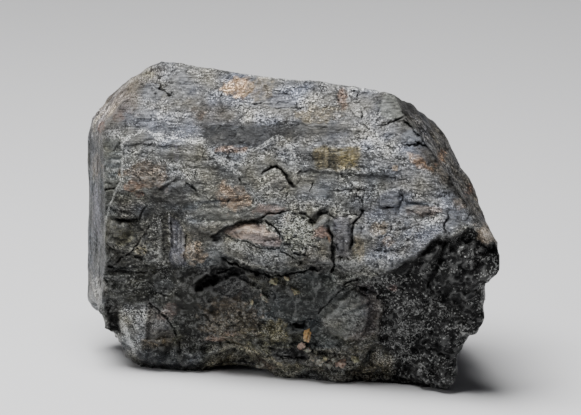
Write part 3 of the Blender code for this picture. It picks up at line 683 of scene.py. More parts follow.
# No point may stand out from its neighbours like a thorn, and none may lie below the floor.
for _ in range(3):
    mean = around(points)
    thorn = points - mean
    length = np.linalg.norm(thorn, axis=1)
    points = mean + thorn * np.minimum(1.0, THORN / np.maximum(length, 1e-6))[:, None]
points[:, 2] = np.maximum(points[:, 2], 0.0)
crystal.data.vertices.foreach_set("co", (points * MM).ravel())
crystal.data.update()
bpy.ops.object.shade_smooth()

# How far each point stands out from, or lies within, the surface just round it, evened once over
# a narrow ring and once over a wide one.
EVENED = {2: 0.12, 6: 0.30}  # rounds of evening, and the height in millimetres that counts as 1
normals = read(crystal.data.vertex_normals, "vector", 3)
flat = points.copy()
stands = np.zeros(count)
for rounds in range(1, 7):
    flat = around(flat)
    if rounds in EVENED:
        stands += ((points - flat) * normals).sum(axis=1) / EVENED[rounds]


# ---- The crystal: what colours its surface ----------------------------------------------------
# Each face has its own grey. Thin films of iron oxide and clay stain it in patches, fine
# pale grains are crusted along some bands, with painted glints among them, and a few flakes keep a smooth
# grown face.

FACE_COLOURS = {
    "upper front": "#626366",
    "front": "#565652",
    "left end": "#2f3132",
    "left front bevel": "#50524f",
    "upper left bevel": "#8f877e",
    "upper left back bevel": "#524f4b",
    "left back bevel": "#4a4b4c",
    "right bevel": "#4d4b48",
    "right end": "#383634",
    "upper back": "#50504e",
    "back": "#484744",
    "right back bevel": "#383733",
    "lower front break": "#3e3f3b",
    "lower left break": "#484846",
    "right end break": "#1a1a1a",
    "lower back break": "#2d2d2b",
    "underside": "#31302d",
}
ZONES = {  # colour, outline, width of its edge, how grained
    "band": ("#252525", [(-15.6, 40.6), (-4.5, 41.1), (1.4, 40.8), (11.1, 41), (11.1, 39.2), (1.4, 38.5),
                         (-4.2, 37), (-15.3, 36.8)], 0.9, 0.85),
    "right slabs": ("#646567", [(12.7, 33.3), (22.2, 36.4), (27.4, 29.5), (30.8, 25.2), (25.6, 20.8),
                                (23, 17), (17.8, 16.7), (12.8, 17.7), (10.9, 25.2)], 2.5, 1),
    "end strip": ("#555754", [(-32.6, 38.2), (-29.5, 38.2), (-29.5, 32.1), (-30.5, 29.5),
                              (-32.4, 25.2)], 0.3, 0.6),
    "lower front": ("#2b2f2f", [(-20.1, 17), (-15.9, 17), (-11.6, 17), (-4.5, 15.6), (6.6, 15), (9.2, 12.4),
                                (6.6, 8.7), (5.2, 6.1), (9.2, 3.5), (10.1, -2.7), (-6.1, -2.7), (-19.4, -1),
                                (-21.1, 5.3), (-20.8, 16)], 1.2, 0.75),
    "dark centre": ("#020202", [(-19.8, 15.3), (-15.9, 16.3), (-11.6, 17.4), (-6.4, 15.6), (-4.9, 11.8),
                                (-9, 9.8), (-15.1, 7.3), (-19.1, 6.6), (-20.4, 10.4)], 1.2, 0.45),
    "left hollow": ("#3f3f3b", [(-32.2, 25.2), (-27.9, 24.7), (-24.6, 26.9), (-21.5, 26), (-18.4, 25.4),
                                (-18.4, 20.8), (-18.7, 16), (-21.5, 12.2), (-32.4, 11.8)], 1.2, 1),
    "column": ("#414249", [(-21.3, 25.4), (-19.8, 24), (-18.5, 21.9), (-18.7, 16),
                           (-21.1, 15.6)], 0.2, 0.7),
    "hollow block": ("#6a6965", [(-30.3, 27.4), (-25.6, 27.8), (-26.3, 25.4), (-30.2, 24.3)], 0.3, 1),
    "granular slab": ("#4d4d49", [(-11.8, 21.2), (-7.3, 21.9), (0, 19.1), (-0.3, 16), (-7.3, 16.3),
                                  (-11.6, 18.8)], 0.4, 1),
    "column block": ("#515051", [(7.1, 25), (10.1, 25), (10.2, 17.9), (7.3, 17.9)], 0.3, 1),
    "low left": ("#666766", [(-32.2, 9.1), (-24.6, 9.8), (-20.1, 5.3), (-19.8, 1.1), (-22.9, -0.6),
                             (-28.4, 0.4), (-30.5, 4.2)], 0.6, 1),
    "low plate": ("#4b4b49", [(4.7, 8.7), (8.3, 10.4), (12.8, 10.1), (13, 6.1), (12, 3.3), (7.3, 5.1),
                              (5.2, 6.1)], 0.4, 0.6),
    "right break": ("#0a0a0a", [(10.1, 12.5), (13.2, 14.1), (15.4, 15.6), (17.5, 16.2), (21.1, 18.1),
                                (22.5, 19.5), (25, 21.9), (26.7, 21), (28.6, 22.1), (30.5, 23.6),
                                (33.3, 21.7), (35.9, 19.3), (38.5, 17.7), (38.5, -6.9), (9.2, -6.9),
                                (9.2, -2.4), (11.1, 2.5), (14.9, 3.9), (15.6, 10.4)], 0.25, 0.9),
    "foot crust": ("#3e3f37", [(-22.9, 6.6), (-15.1, 8.4), (-5.2, 7.3), (1.4, 5.3), (2.8, 2.5), (6.6, 0.7),
                               (10.1, -1.3), (1.4, -2), (-7.3, -2.4), (-15.9, -0.3), (-22, -1)], 1.0, 1),
    "foot lip": ("#615f54", [(-15.3, 1.4), (-10.4, 1.8), (-4.2, 1.3), (1.4, -0.6), (0.7, -3.1), (-9, -3.4),
                             (-15.3, -2)], 0.7, 1),
    "knob foot": ("#504f4b", [(1, 16), (2.4, 19.5), (5.2, 20.8), (6.8, 20.5), (7.3, 17), (5.2, 14.8),
                              (2.3, 15.3)], 0.5, 1),
    # Painted dark over the recess of the same name: painted shade.
    "foot recess": ("#1c1c1b", [(-32.8, 10.1), (-30.3, 10.6), (-29.8, 7.7), (-30, 4.6),
                                (-31.9, 5.9)], 0.5, 1),
    "hollow dark": ("#1e1f1b", [(-31.9, 16), (-24.6, 17), (-17.7, 15.6), (-16.6, 10.4), (-22.2, 9.4),
                                (-30.2, 10.4), (-32.1, 12.2)], 1, 0.9),
    "blue facet dark": ("#2b2b29", [(-24.6, 30.6), (-21.1, 31.1), (-18.2, 29.5), (-18.2, 26.7),
                                    (-22.9, 26.4), (-25, 27.8)], 0.8, 0.9),
    "brow dark": ("#3a3935", [(-18.7, 24), (-13.3, 22.8), (-9.4, 24.1), (-11.1, 22.4), (-14.2, 21.2),
                              (-18.4, 19.8)], 0.7, 0.9),
    "upper brown": ("#484644", [(-18, 45.1), (-11.1, 44.4), (-10.1, 41.3), (-16.6, 40.6)], 1.4, 0.9),
    "olive foot": ("#171713", [(-20.1, 9.4), (-13.5, 8.7), (-13.2, 2.5), (-19.1, 1.8)], 0.9, 1),
    "foot facet": ("#4f4d49", PLATES["foot facet"][0], 0.15, 0.6),
    "foot brown": ("#4b453b", [(-26.3, 4), (-20.8, 3.7), (-21.1, 2.1), (-26, 2.1)], 0.4, 1),
    "foot left dark": ("#2b2d2e", [(-27.7, 2), (-20.1, 2.7), (-15.9, 1.1), (-15.9, -2),
                                   (-24.6, -1.3)], 0.7, 1),
    "foot layers": ("#161615", [(-4.2, 2.5), (1.4, 2.5), (3.8, 1.1), (2.8, -1), (-2.8, -0.3)], 0.5, 0.9),
    "plate side": ("#403c3b", [(10.7, 13.2), (13.9, 13.2), (15.6, 10.4), (14.9, 4.6), (11.1, 3.2),
                               (9.2, 4.9), (12.5, 8.4)], 0.7, 1),
    "foot right": ("#4a4840", [(2.4, 1.8), (9.2, 2.5), (15.3, 2.7), (18, 0.1), (17, -3.4), (8.3, -3.4),
                               (2.8, -1.7)], 0.7, 1),
    # Painted near black: painted shade in a pit of the break.
    "fracture pit": ("#040404", [(16.1, 10.8), (19.6, 11.5), (21.5, 8.7), (20.4, 4.4),
                                 (17, 5.3)], 0.9, 0.7),
    "crystal bed": ("#34342e", [(-7.3, 15.3), (0.7, 14.8), (1.7, 11.1), (-4.9, 10.4),
                                (-7.3, 12.5)], 0.8, 1),
    "edge brown": ("#3d3831", [(21, 36.8), (24.3, 36.4), (28.1, 31.6), (25.6, 30.9)], 0.8, 1),
    "right shade": ("#424446", [(12.1, 33.7), (16.6, 33.7), (17.3, 27.8), (12.8, 27.1)], 1.2, 1),
    "ochre": ("#544e3d", [(3.8, 37), (7.1, 37.1), (9.4, 36.8), (11.6, 37), (11.8, 35.1), (11.3, 34.2),
                          (11.6, 33), (9.5, 33.2), (8, 32.6), (5.9, 33.2), (4, 33), (3.6, 35.1)], 0.4, 1),
    "lens": ("#5f544e", [(-11.8, 22.1), (-10.4, 23.3), (-8.3, 23.8), (-6.2, 23.8), (-4.3, 23.1),
                         (-2.6, 21.5), (-1.6, 20.7), (-2.3, 19.8), (-4.5, 19.8), (-6.6, 20.5), (-8.7, 21.2),
                         (-10.7, 21.5)], 0.15, 0.35),
    "bevel low": ("#1d1a17", [(26.7, 32.6), (27.7, 31.9), (29.5, 29.5), (31.2, 26), (33.3, 22.6),
                              (32.2, 22.6), (30.2, 25.4), (28.4, 28.1), (26.7, 30.6)], 0.4, 1),
    "upper right": ("#656461", [(1.4, 46.8), (9.2, 47.2), (18, 45.5), (18.7, 43), (14.2, 38.5), (8.3, 39.9),
                                (1.4, 40.6)], 1.5, 1),
}
FILMS = {  # colour, centre, half size, turn, strength
    "peach": ("#957b61", (-9.3, 47.5), (2.5, 1.9), 0, 0.95),
    "pale streak": ("#7b705c", (-5.5, 47), (2.5, 2.3), 45, 0.55),
    "pale yellow": ("#6d6956", (-25.3, 49.4), (1.2, 1.2), 0, 0.5),
    "ridge ochre": ("#605641", (4.3, 42.5), (4.3, 1.4), 0, 0.55),
    "upright orange": ("#694f3d", (8.8, 45.3), (0.9, 2.3), 0, 0.6),
    "ochre heart": ("#6f6440", (9.4, 35.1), (1.4, 1.6), 0, 0.5),
    "brown bar": ("#4a3c33", (-16.1, 42.5), (1.2, 1), 0, 0.6),
    "pink bar": ("#8a7466", (-10.7, 36.6), (2.9, 0.6), 0, 0.8),
    "left brown": ("#584b3e", (-25.6, 32), (3.6, 2.5), 0, 0.65),
    "left orange": ("#6b4f3c", (-27.5, 30.2), (1.8, 0.9), 0, 0.7),
    "left red": ("#603c30", (-26.3, 28.8), (0.9, 0.6), 0, 0.65),
    "violet": ("#504d5b", (-20.2, 36.4), (0.4, 1.4), 0, 0.6),
    "tan": ("#6e5c4b", (-10.2, 28.2), (3.1, 2.2), -20, 0.75),
    "pink": ("#725e55", (-4.1, 26.1), (2.5, 1.1), 0, 0.6),
    "right tan": ("#84664a", (21.7, 34.5), (2.4, 0.9), -38, 0.75),
    "dot": ("#918271", (17.7, 33.3), (0.5, 0.5), 0, 0.9),
    "bevel brown": ("#5a3d24", (25.6, 35.1), (0.9, 1.7), -30, 0.6),
    "bevel tan": ("#6c5f50", (28.6, 27.1), (1, 1), 0, 0.5),
    "bevel red": ("#5e3c22", (30.8, 30), (0.7, 1.7), -24, 0.4),
    "ledge pink": ("#6f625a", (22.6, 26), (3, 1), 0, 0.6),
    "knob pink": ("#8f756a", (5.1, 22.2), (1.5, 1), 0, 0.75),
    "knob orange": ("#7d5535", (6.4, 21.4), (0.5, 1.2), 0, 0.7),
    "block ochre": ("#6c6350", (11.5, 19.8), (1.1, 2.1), 0, 0.6),
    "block ochre 2": ("#7d6e58", (15.1, 22.8), (1.6, 1.2), 0, 0.6),
    "block ochre 3": ("#776553", (16.3, 20.7), (1, 1), 0, 0.6),
    "left tan": ("#736453", (-17.1, 18.7), (1.8, 2.2), 0, 0.75),
    "bevel left orange": ("#694c3d", (-33.1, 40.4), (0.9, 1), 0, 0.7),
    "bevel left orange 2": ("#654f43", (-29.8, 42.3), (1.4, 1), 0, 0.6),
    "bevel left pink": ("#5e524c", (-29.1, 44.6), (2.8, 2.6), 30, 0.4),
    "crust brown": ("#5e5344", (-10.6, 6.6), (5.4, 3.9), 0, 0.5),
    "crust pink": ("#7c6456", (-13.3, 3.2), (1.8, 0.9), 0, 0.7),
    "crust pink 2": ("#7c6456", (-10.7, 4.4), (1.6, 0.7), 0, 0.7),
    "crust yellow": ("#635e45", (-3, 5.3), (2.5, 1.8), 0, 0.75),
    "foot brown": ("#6b5e51", (-4.7, -1.3), (1.7, 0.9), 0, 0.7),
    "streak pink": ("#6a5b55", (-21.5, 8.4), (1.2, 1.7), -40, 0.45),
    "flake": ("#8a7d6d", (33.4, 22.1), (2, 1.9), -40, 0.8),
    "centre green": ("#6c6d5c", (1.4, 22.1), (2.8, 3), 0, 0.5),
    "centre gold": ("#6a6049", (-0.7, 24.3), (1, 1), 0, 0.45),
    "hollow olive": ("#4d4a3a", (-29.5, 21.5), (2, 1.6), 0, 0.6),
    "hollow gold": ("#6b6249", (-26.2, 18.9), (1.2, 0.9), 0, 0.4),
    "left edge pale": ("#8f8b84", (-34, 12), (1.7, 2.4), 0, 0.35),
    "foot pale": ("#7c7f7c", (-28.6, 3.9), (1.2, 2.1), 0, 0.25),
    "fracture pink": ("#76625d", (17.5, 12.9), (1, 0.7), 0, 0.6),
    "end tan": ("#6f6456", (-34.1, 33.8), (1.2, 2.4), 0, 0.4),
    "end violet": ("#55545e", (-34, 25.2), (0.9, 5.2), 0, 0.5),
}
PALE_BANDS = {  # line, half width, strength
    "upper left band": ([(-29.1, 37.8), (-27.9, 39), (-26, 39.9), (-24.6, 39.7), (-23.4, 38.7),
                         (-21.8, 38.2)], 0.42, 1),
    "upper centre band": ([(-24.6, 39.7), (-19.9, 38.7), (-17.7, 38.2), (-15.6, 37.8), (-14.2, 36.4),
                           (-13.3, 35.2), (-11.6, 33.8), (-9, 32.3)], 0.42, 0.95),
    "centre spot": ([(-12.8, 35.1), (-10.4, 34), (-8, 34.2), (-5.2, 35.2)], 0.6, 0.75),
    "centre arch": ([(-9.5, 35.8), (-7.3, 36.3), (-5.2, 37), (-3.8, 38.2), (-2.1, 38.7), (-0.3, 37.3),
                     (0.3, 35.4)], 0.42, 0.95),
    "right of ochre": ([(12.1, 40.3), (14.6, 38.2), (18, 36.4), (19.6, 34.7)], 1.39, 0.6),
    "top edge left": ([(-35.4, 41), (-31.5, 45.5), (-26.3, 50), (-23.4, 51.2), (-19.4, 51.3)], 0.35, 0.8),
    "top edge": ([(-19.4, 51.3), (-13.3, 50.7), (-5.5, 49.3), (6.6, 47.9), (15.3, 46.3),
                  (18.7, 45.6)], 0.28, 0.9),
    "end border": ([(-29.5, 38.2), (-29.5, 31.6), (-30.5, 29.5), (-31.7, 26.9), (-32.4, 24)], 0.28, 0.9),
    "left band low": ([(-29.1, 34), (-24.6, 34.7), (-19.4, 34), (-17.3, 32.6)], 0.52, 0.6),
    "blue facet top": ([(-22.9, 31.2), (-20.1, 32.3), (-17.7, 31.6)], 0.52, 0.5),
    "ridge right": ([(10.4, 43.7), (13.9, 42), (15.9, 39.9)], 1.21, 0.5),
    "upper grey left": ([(-26, 45.5), (-22.9, 43), (-20.1, 42)], 1.39, 0.5),
    "upper grey mid": ([(-16.6, 48.9), (-13.5, 46.5), (-9.7, 44.4)], 1.73, 0.4),
    "ridge left": ([(0.7, 46.5), (4.2, 45.5), (6.6, 44.4)], 1.39, 0.45),
    "right slab": ([(13.9, 24), (18.7, 20.8), (23.9, 21.5)], 2.08, 0.45),
    "centre slab": ([(-10.4, 19.8), (-7.3, 18.8), (-2.1, 18.1)], 0.87, 0.45),
    "spur": ([(25.8, 19.8), (25, 18.1), (23.4, 16.2), (22, 15.1)], 0.35, 0.9),
    "fracture rim": ([(30.3, 23.6), (32.2, 22.8), (34, 21.2)], 0.43, 0.8),
    "step light": ([(7.1, 29.5), (10.4, 29.2), (12.1, 27.8)], 0.87, 0.4),
    "left low end": ([(-35, 14.3), (-34, 11.8), (-33.3, 9.4)], 0.7, 0.8),
    "foot left": ([(-29.8, 6.3), (-28.6, 4.2), (-27.6, 1.8)], 0.7, 0.95),
    "centre grains": ([(-0.7, 24), (2.3, 22.6), (2.4, 20.2)], 1.9, 0.85),
    "dark centre glints": ([(-11.1, 12.4), (-7.8, 13.2)], 0.9, 0.45),
    "slab edge": ([(-9.7, 17.6), (-6.8, 16.7)], 0.3, 0.9),
    "slab grains": ([(-9.7, 20.2), (-5.2, 18.1), (-0.3, 17)], 1.4, 0.45),
    "column ridge": ([(-21.3, 25.5), (-21.3, 23.3), (-21.3, 20.5)], 0.2, 0.95),
    "foot facet grains": ([(-29.6, 7), (-28.8, 4.6), (-27.4, 1.4)], 0.7, 0.5),
    "upper thread": ([(-20.8, 39.6), (-18.7, 39.7), (-16.6, 39), (-14.7, 38)], 0.3, 0.7),
    "pale arc": ([(17.5, 4.2), (18.7, 3.5), (19.9, 2.7)], 0.3, 0.8),
    "low glints": ([(14.6, 1.4), (15.9, 0.1), (17.5, -1.5)], 0.7, 0.7),
    "fracture glints": ([(25.6, 20), (29.1, 20.5), (32.9, 19.1), (31.2, 17)], 1.5, 0.4),
    "curl": ([(-3.8, 6.6), (-4.7, 5.4), (-4, 4.2), (-2.3, 4), (-1.2, 5.3)], 0.3, 0.7),
    "curl 2": ([(-12.8, 9.1), (-11.4, 8.2), (-9.7, 8.5)], 0.4, 0.45),
    "column grains": ([(-23.2, 25.4), (-24.3, 21.2), (-22.9, 17.7), (-22, 13.9)], 0.9, 0.55),
    "bevel grains": ([(18.7, 44.4), (20.4, 41), (22.9, 37.8), (25.6, 34.4), (28.4, 30.2),
                      (29.8, 27.8)], 0.35, 0.7),
    "bevel grains 2": ([(28.4, 29.2), (30.5, 25.4), (33.3, 22.2)], 0.6, 0.6),
    "end edge": ([(-32.5, 36.4), (-32.4, 30.4), (-32.5, 22.6), (-32.6, 14.6)], 0.2, 0.6),
}
SMOOTH = {  # colour, centre, half size, turn, strength
    "blue-grey left": ("#54565a", (-24.4, 46.4), (1.7, 1.8), 10, 0.9),
    "grey top": ("#5e5f60", (-20, 48), (2.3, 3), 0, 0.7),
    "blue-grey ridge": ("#585a61", (-1.7, 44.9), (2.6, 1.3), 0, 0.75),
    "end plate": ("#60625d", (17.2, 44.1), (2.2, 2.4), 0, 0.95),
    "small plate": ("#5a5d62", (20.4, 38.5), (1.6, 1.4), 0, 0.8),
    "dark smooth": ("#212222", (-9.9, 38.9), (5.7, 2.1), 0, 0.5),
    "dark line": ("#222324", (3.3, 40.3), (7.8, 0.8), -4, 0.5),
    "strip smooth 1": ("#4b4d4a", (-31, 37.5), (1.4, 1), 0, 0.7),
    "strip smooth 2": ("#575958", (-31, 34), (1.4, 0.9), 0, 0.6),
    "grey left mid": ("#5e5f62", (-21.1, 31.2), (2.4, 1.5), 18, 0.6),
    "block blue": ("#62646a", (16.7, 28.1), (1.8, 1.4), 0, 0.8),
    "block foot grey": ("#5b5c5c", (9.5, 16.5), (2.3, 1.2), 0, 0.6),
    "olive smooth": ("#53534b", (-13.2, 25.4), (3.5, 1.7), 0, 0.5),
    "round inside": ("#626161", (-2.6, 30.6), (1.9, 1.4), 0, 0.4),
    "grey centre": ("#5d5f62", (3.6, 28.7), (2.9, 1.8), 0, 0.4),
    "dark flat": ("#212321", (2.6, 10.8), (4.7, 3.5), 0, 0.85),
    "plate": ("#4e524e", (8.8, 7.3), (3.6, 3.1), 0, 0.5),
    "dark hollow": ("#383931", (-29.3, 21.5), (1.9, 1.7), 0, 0.5),
    "facet blue": ("#4c4e50", (-22.4, 12.7), (1.6, 1.4), 0, 0.35),
    "left olive dark": ("#171713", (-18, 11.3), (2.1, 4), -20, 0.95),
    "slab nose": ("#545556", (-12.8, 20.8), (1, 1), 0, 0.6),
    "light plate left": ("#5d5e5d", (-0.1, 33.8), (1.5, 1.2), 0, 0.5),
    "upper mid": ("#515252", (5, 41), (2.3, 1), 0, 0.3),
    "olive low": ("#1f201b", (-15.1, 8.4), (3.5, 3.8), -30, 0.7),
    "olive low 2": ("#20211d", (-5.9, 10.4), (2.4, 1.4), -30, 0.5),
}


def linear(code):
    """An sRGB hex colour as the linear colour that a shader takes."""
    channels = [int(code[i : i + 2], 16) / 255 for i in (1, 3, 5)]
    return tuple(c / 12.92 if c <= 0.04045 else ((c + 0.055) / 1.055) ** 2.4 for c in channels) + (1.0,)


def paint(piece, name, values):
    """A value, or a colour with its strength, at each point, which the material reads."""
    values = np.asarray(values, np.float32)
    colour = values.ndim == 2
    layer = piece.data.attributes.new(name, "FLOAT_COLOR" if colour else "FLOAT", "POINT")
    layer.data.foreach_set("color" if colour else "value", values.ravel())


def lay(under, code, amount):
    """A colour laid over others by an amount at each point."""
    amount = np.clip(amount, 0.0, 1.0)[:, None]
    return under * (1.0 - amount) + np.array(linear(code)[:3]) * amount


# The colour of each face, and of the zones that lie over it with uneven edges.
blot = spread(points, 0.9, 21.0)
edge_noise = 0.45 * wobble[:, 0] + 0.5 * blot
ground = share @ np.array([linear(code)[:3] for code in FACE_COLOURS.values()])
graininess = np.ones(count)
for code, outline, edge, grained in ZONES.values():
    distance = from_rim(wavy, outline)
    signed = np.where(inside(wavy, outline), distance, -distance)
    amount = ease(0.5 + (signed + 0.5 * edge * blot) / (2.0 * edge)) * front
    ground = lay(ground, code, amount)
    graininess += (grained - graininess) * amount

# The grey drifts from dark to light and from cool to warm over a few millimetres.
hue = spread(points, (6.0, 6.0, 3.5), 31.0) + 0.6 * spread(points, 2.2, 33.0)
tint = spread(points, (9.0, 9.0, 4.0), 37.0) + 0.6 * spread(points, 1.5, 39.0)
ground *= 1.0 + 0.35 * tint[:, None]
ground *= 1.0 + hue[:, None] * np.array((0.16, 0.08, -0.14))
ground *= 1.0 + shade[:, None] * np.array((1.0, 0.92, 0.8))

# Grown flakes that stayed smooth, bands of pale grains and painted glints, and films that the weather left.
for code, centre, half, turn, strength in SMOOTH.values():
    reach = 1.1 + 0.6 * edge_noise - within_oval(plane, centre, half, turn)
    amount = strength * ease(reach / 0.15) * front
    ground = lay(ground, code, 0.8 * amount)
    graininess *= 1.0 - 0.6 * amount
pale = np.zeros(count)
for line, wide, strength in PALE_BANDS.values():
    distance, _, from_end = beside(plane, line)
    reach = 1.2 + 0.8 * edge_noise - distance / wide
    pale = np.maximum(pale, strength * ease(reach / 0.6) * seen)
film = np.zeros((count, 4))
for code, centre, half, turn, strength in FILMS.values():
    reach = 1.15 + edge_noise - within_oval(plane, centre, half, turn)
    amount = strength * ease(reach / 0.4) * seen
    film[:, :3] = lay(film[:, :3], code, np.where(film[:, 3] > 0.02, amount, amount > 0.0))
    film[:, 3] = np.maximum(film[:, 3], amount)

paint(crystal, "ground", np.column_stack([ground, graininess]))
paint(crystal, "film", film)
paint(crystal, "pale", pale)
# The crevice layer is painted shade, which the material lays on as near black.
paint(crystal, "crevice", np.clip(crevice * front, 0.0, 1.0))
paint(crystal, "stands", np.clip(0.5 + 0.5 * stands, 0.0, 1.0))
paint(crystal, "hackly", hackly)
crumbly = np.maximum(crumbly, np.maximum(0.8 * hackly, 0.5 * np.maximum(hollow, weathered)))
crumbly = np.maximum(crumbly, np.maximum(0.8 * worn_bevel, 0.3 * lies_on("upper left bevel")))
paint(crystal, "crumbly", np.clip(crumbly, 0.0, 1.0))
paint(crystal, "ribs", ribs)


def node(tree, kind, inputs=(), **settings):
    """Adds a node with its settings and gives its outputs; an input takes a value or an output."""
    added = tree.nodes.new(kind)
    for name, value in settings.items():
        setattr(added, name, value)
    for name, value in dict(inputs).items():
        if isinstance(value, bpy.types.NodeSocket):
            tree.links.new(value, added.inputs[name])
        else:
            added.inputs[name].default_value = value
    return added.outputs


def per(size):
    """The texture scale whose features are this many millimetres across."""
    return 1.0 / (size * MM)


# Ferberite, grown and broken, not worked: near black, with a dull half-metallic shine that comes
# off countless small facets. The finest grains are drawn about twice their size, or they wouldn't
# show.
# Pale grains, and painted glints, take this colour.
PALE_GRAIN_AND_GLINT = linear("#c4c5c2")
# Pale grey laid on raised edges: a painted highlight.
EDGE_HIGHLIGHT = linear("#8a8b89")
# Near black, laid on as painted shade in cracks, crevices and sunk places.
CREVICE_SHADE = linear("#0a0a0a")
ferberite = bpy.data.materials.new("ferberite_dark_submetallic")
ferberite.use_nodes = True
tree = ferberite.node_tree
shader = tree.nodes["Principled BSDF"]
spot = node(tree, "ShaderNodeTexCoord")["Object"]
ground_layer = node(tree, "ShaderNodeAttribute", attribute_name="ground")
film_layer = node(tree, "ShaderNodeAttribute", attribute_name="film")
in_band, in_crevice, stands_out, is_hackly, is_crumbly, is_ribbed = (
    node(tree, "ShaderNodeAttribute", attribute_name=layer)["Fac"]
    for layer in ("pale", "crevice", "stands", "hackly", "crumbly", "ribs")
)
grained = ground_layer["Alpha"]

# The axis runs across the front, so flakes and streaks are drawn out along it.
shift = node(tree, "ShaderNodeTexNoise", {"Vector": spot, "Scale": per(1.5), "Detail": 3.0})["Color"]
bent = {0: shift, 1: (1.3 * MM,) * 3, 2: spot}
bent = node(tree, "ShaderNodeVectorMath", bent, operation="MULTIPLY_ADD")[0]
turn_back = (0.0, 0.0, -AXIS_TURN)
lying = node(tree, "ShaderNodeMapping", {"Vector": bent, "Rotation": turn_back, "Scale": (0.4, 0.5, 1.0)})[0]
along = node(tree, "ShaderNodeMapping", {"Vector": spot, "Rotation": turn_back, "Scale": (0.1, 0.5, 1.0)})[0]
down_side = node(tree, "ShaderNodeMapping", {"Vector": spot, "Scale": (0.12, 1.0, 0.1)})[0]

broad = node(tree, "ShaderNodeTexNoise", {"Vector": lying, "Scale": per(3.0), "Detail": 2.0})["Fac"]
medium = node(tree, "ShaderNodeTexNoise", {"Vector": spot, "Scale": per(1.0), "Detail": 2.0})["Fac"]
fine = node(tree, "ShaderNodeTexNoise", {"Vector": spot, "Scale": per(0.24), "Detail": 1.0})["Fac"]
drawn = node(tree, "ShaderNodeMapping", {"Vector": bent, "Rotation": turn_back, "Scale": (0.6, 0.7, 1.0)})[0]
drawn = node(tree, "ShaderNodeMix", {0: is_hackly, 4: drawn, 5: spot}, data_type="VECTOR")[1]
on_side = node(tree, "ShaderNodeMapping", {"Vector": spot, "Scale": (1.0, 0.22, 0.45)})[0]
drawn = node(tree, "ShaderNodeMix", {0: is_ribbed, 4: drawn, 5: on_side}, data_type="VECTOR")[1]
speck = {"Vector": drawn, "Scale": per(0.2), "Detail": 2.0, "Roughness": 0.7}
speck = node(tree, "ShaderNodeTexNoise", speck)["Fac"]
grit = node(tree, "ShaderNodeTexVoronoi", {"Vector": drawn, "Scale": per(0.2)})["Color"]
streak = node(tree, "ShaderNodeTexNoise", {"Vector": along, "Scale": per(0.24), "Detail": 3.0})["Fac"]
rib = node(tree, "ShaderNodeTexNoise", {"Vector": down_side, "Scale": per(1.3), "Detail": 3.0})["Fac"]

# Each flake and each small facet leans its own way, and has its own tone.
height = node(tree, "ShaderNodeMath", {0: speck, 1: 0.22 * MM}, operation="MULTIPLY")[0]
height = node(tree, "ShaderNodeMath", {0: streak, 1: 0.12 * MM, 2: height}, operation="MULTIPLY_ADD")[0]
tones = []
for size, lean in ((1.7, 0.45), (0.62, 0.6)):
    cell = node(tree, "ShaderNodeTexVoronoi", {"Vector": lying, "Scale": per(size)})
    offset = node(tree, "ShaderNodeVectorMath", {0: lying, 1: cell["Position"]}, operation="SUBTRACT")[0]
    leaning = node(tree, "ShaderNodeVectorMath", {0: cell["Color"], 1: (0.5,) * 3}, operation="SUBTRACT")[0]
    slant = node(tree, "ShaderNodeVectorMath", {0: offset, 1: leaning}, operation="DOT_PRODUCT")["Value"]
    height = node(tree, "ShaderNodeMath", {0: slant, 1: lean, 2: height}, operation="MULTIPLY_ADD")[0]
    tones.append(cell["Color"])
amount = {"Value": is_hackly, "To Min": 1.0, "To Max": 1.1}
amount = node(tree, "ShaderNodeMapRange", amount)[0]
amount = node(tree, "ShaderNodeMath", {0: amount, 1: grained}, operation="MULTIPLY")[0]
height = node(tree, "ShaderNodeMath", {0: height, 1: amount}, operation="MULTIPLY")[0]
ridge = node(tree, "ShaderNodeMath", {0: rib, 1: is_ribbed}, operation="MULTIPLY")[0]
height = node(tree, "ShaderNodeMath", {0: ridge, 1: 0.5 * MM, 2: height}, operation="MULTIPLY_ADD")[0]

# Hair cracks open between some of the flakes.
seam = {"Vector": lying, "Scale": per(2.9)}
seam = node(tree, "ShaderNodeTexVoronoi", seam, feature="DISTANCE_TO_EDGE")[0]
seam = node(tree, "ShaderNodeMapRange", {"Value": seam, "From Min": 0.035, "From Max": 0.012})[0]
open_here = {"Value": broad, "From Min": 0.54, "From Max": 0.62, "To Max": 0.7}
open_here = node(tree, "ShaderNodeMapRange", open_here)[0]
seam = node(tree, "ShaderNodeMath", {0: seam, 1: open_here}, operation="MULTIPLY")[0]
hair = {"Vector": lying, "Scale": per(1.1)}
hair = node(tree, "ShaderNodeTexVoronoi", hair, feature="DISTANCE_TO_EDGE")[0]
hair = node(tree, "ShaderNodeMapRange", {"Value": hair, "From Min": 0.09, "From Max": 0.03})[0]
open_here = {"Value": medium, "From Min": 0.52, "From Max": 0.6, "To Max": 0.6}
open_here = node(tree, "ShaderNodeMapRange", open_here)[0]
hair = node(tree, "ShaderNodeMath", {0: hair, 1: open_here}, operation="MULTIPLY")[0]
seam = node(tree, "ShaderNodeMath", {0: seam, 1: hair}, operation="MAXIMUM")[0]
seam = node(tree, "ShaderNodeMath", {0: seam, 1: grained}, operation="MULTIPLY")[0]

# Its ground, with films over it where they have not worn off. Pale grains and painted glints keep some of
# its hue.
worn = {"Value": medium, "From Min": 0.32, "From Max": 0.55, "To Min": 0.35, "To Max": 1.0}
worn = node(tree, "ShaderNodeMapRange", worn)[0]
worn = node(tree, "ShaderNodeMath", {0: worn, 1: film_layer["Alpha"]}, operation="MULTIPLY")[0]
own = {0: worn, 6: ground_layer["Color"], 7: film_layer["Color"]}
own = node(tree, "ShaderNodeMix", own, data_type="RGBA")[2]
pale_own = {0: 1.0, 6: own, 7: (5.0, 5.0, 5.0, 1.0)}
pale_own = node(tree, "ShaderNodeMix", pale_own, data_type="RGBA", blend_type="MULTIPLY")[2]
pale_own = node(tree, "ShaderNodeMix", {0: 0.5, 6: pale_own, 7: PALE_GRAIN_AND_GLINT}, data_type="RGBA")[2]

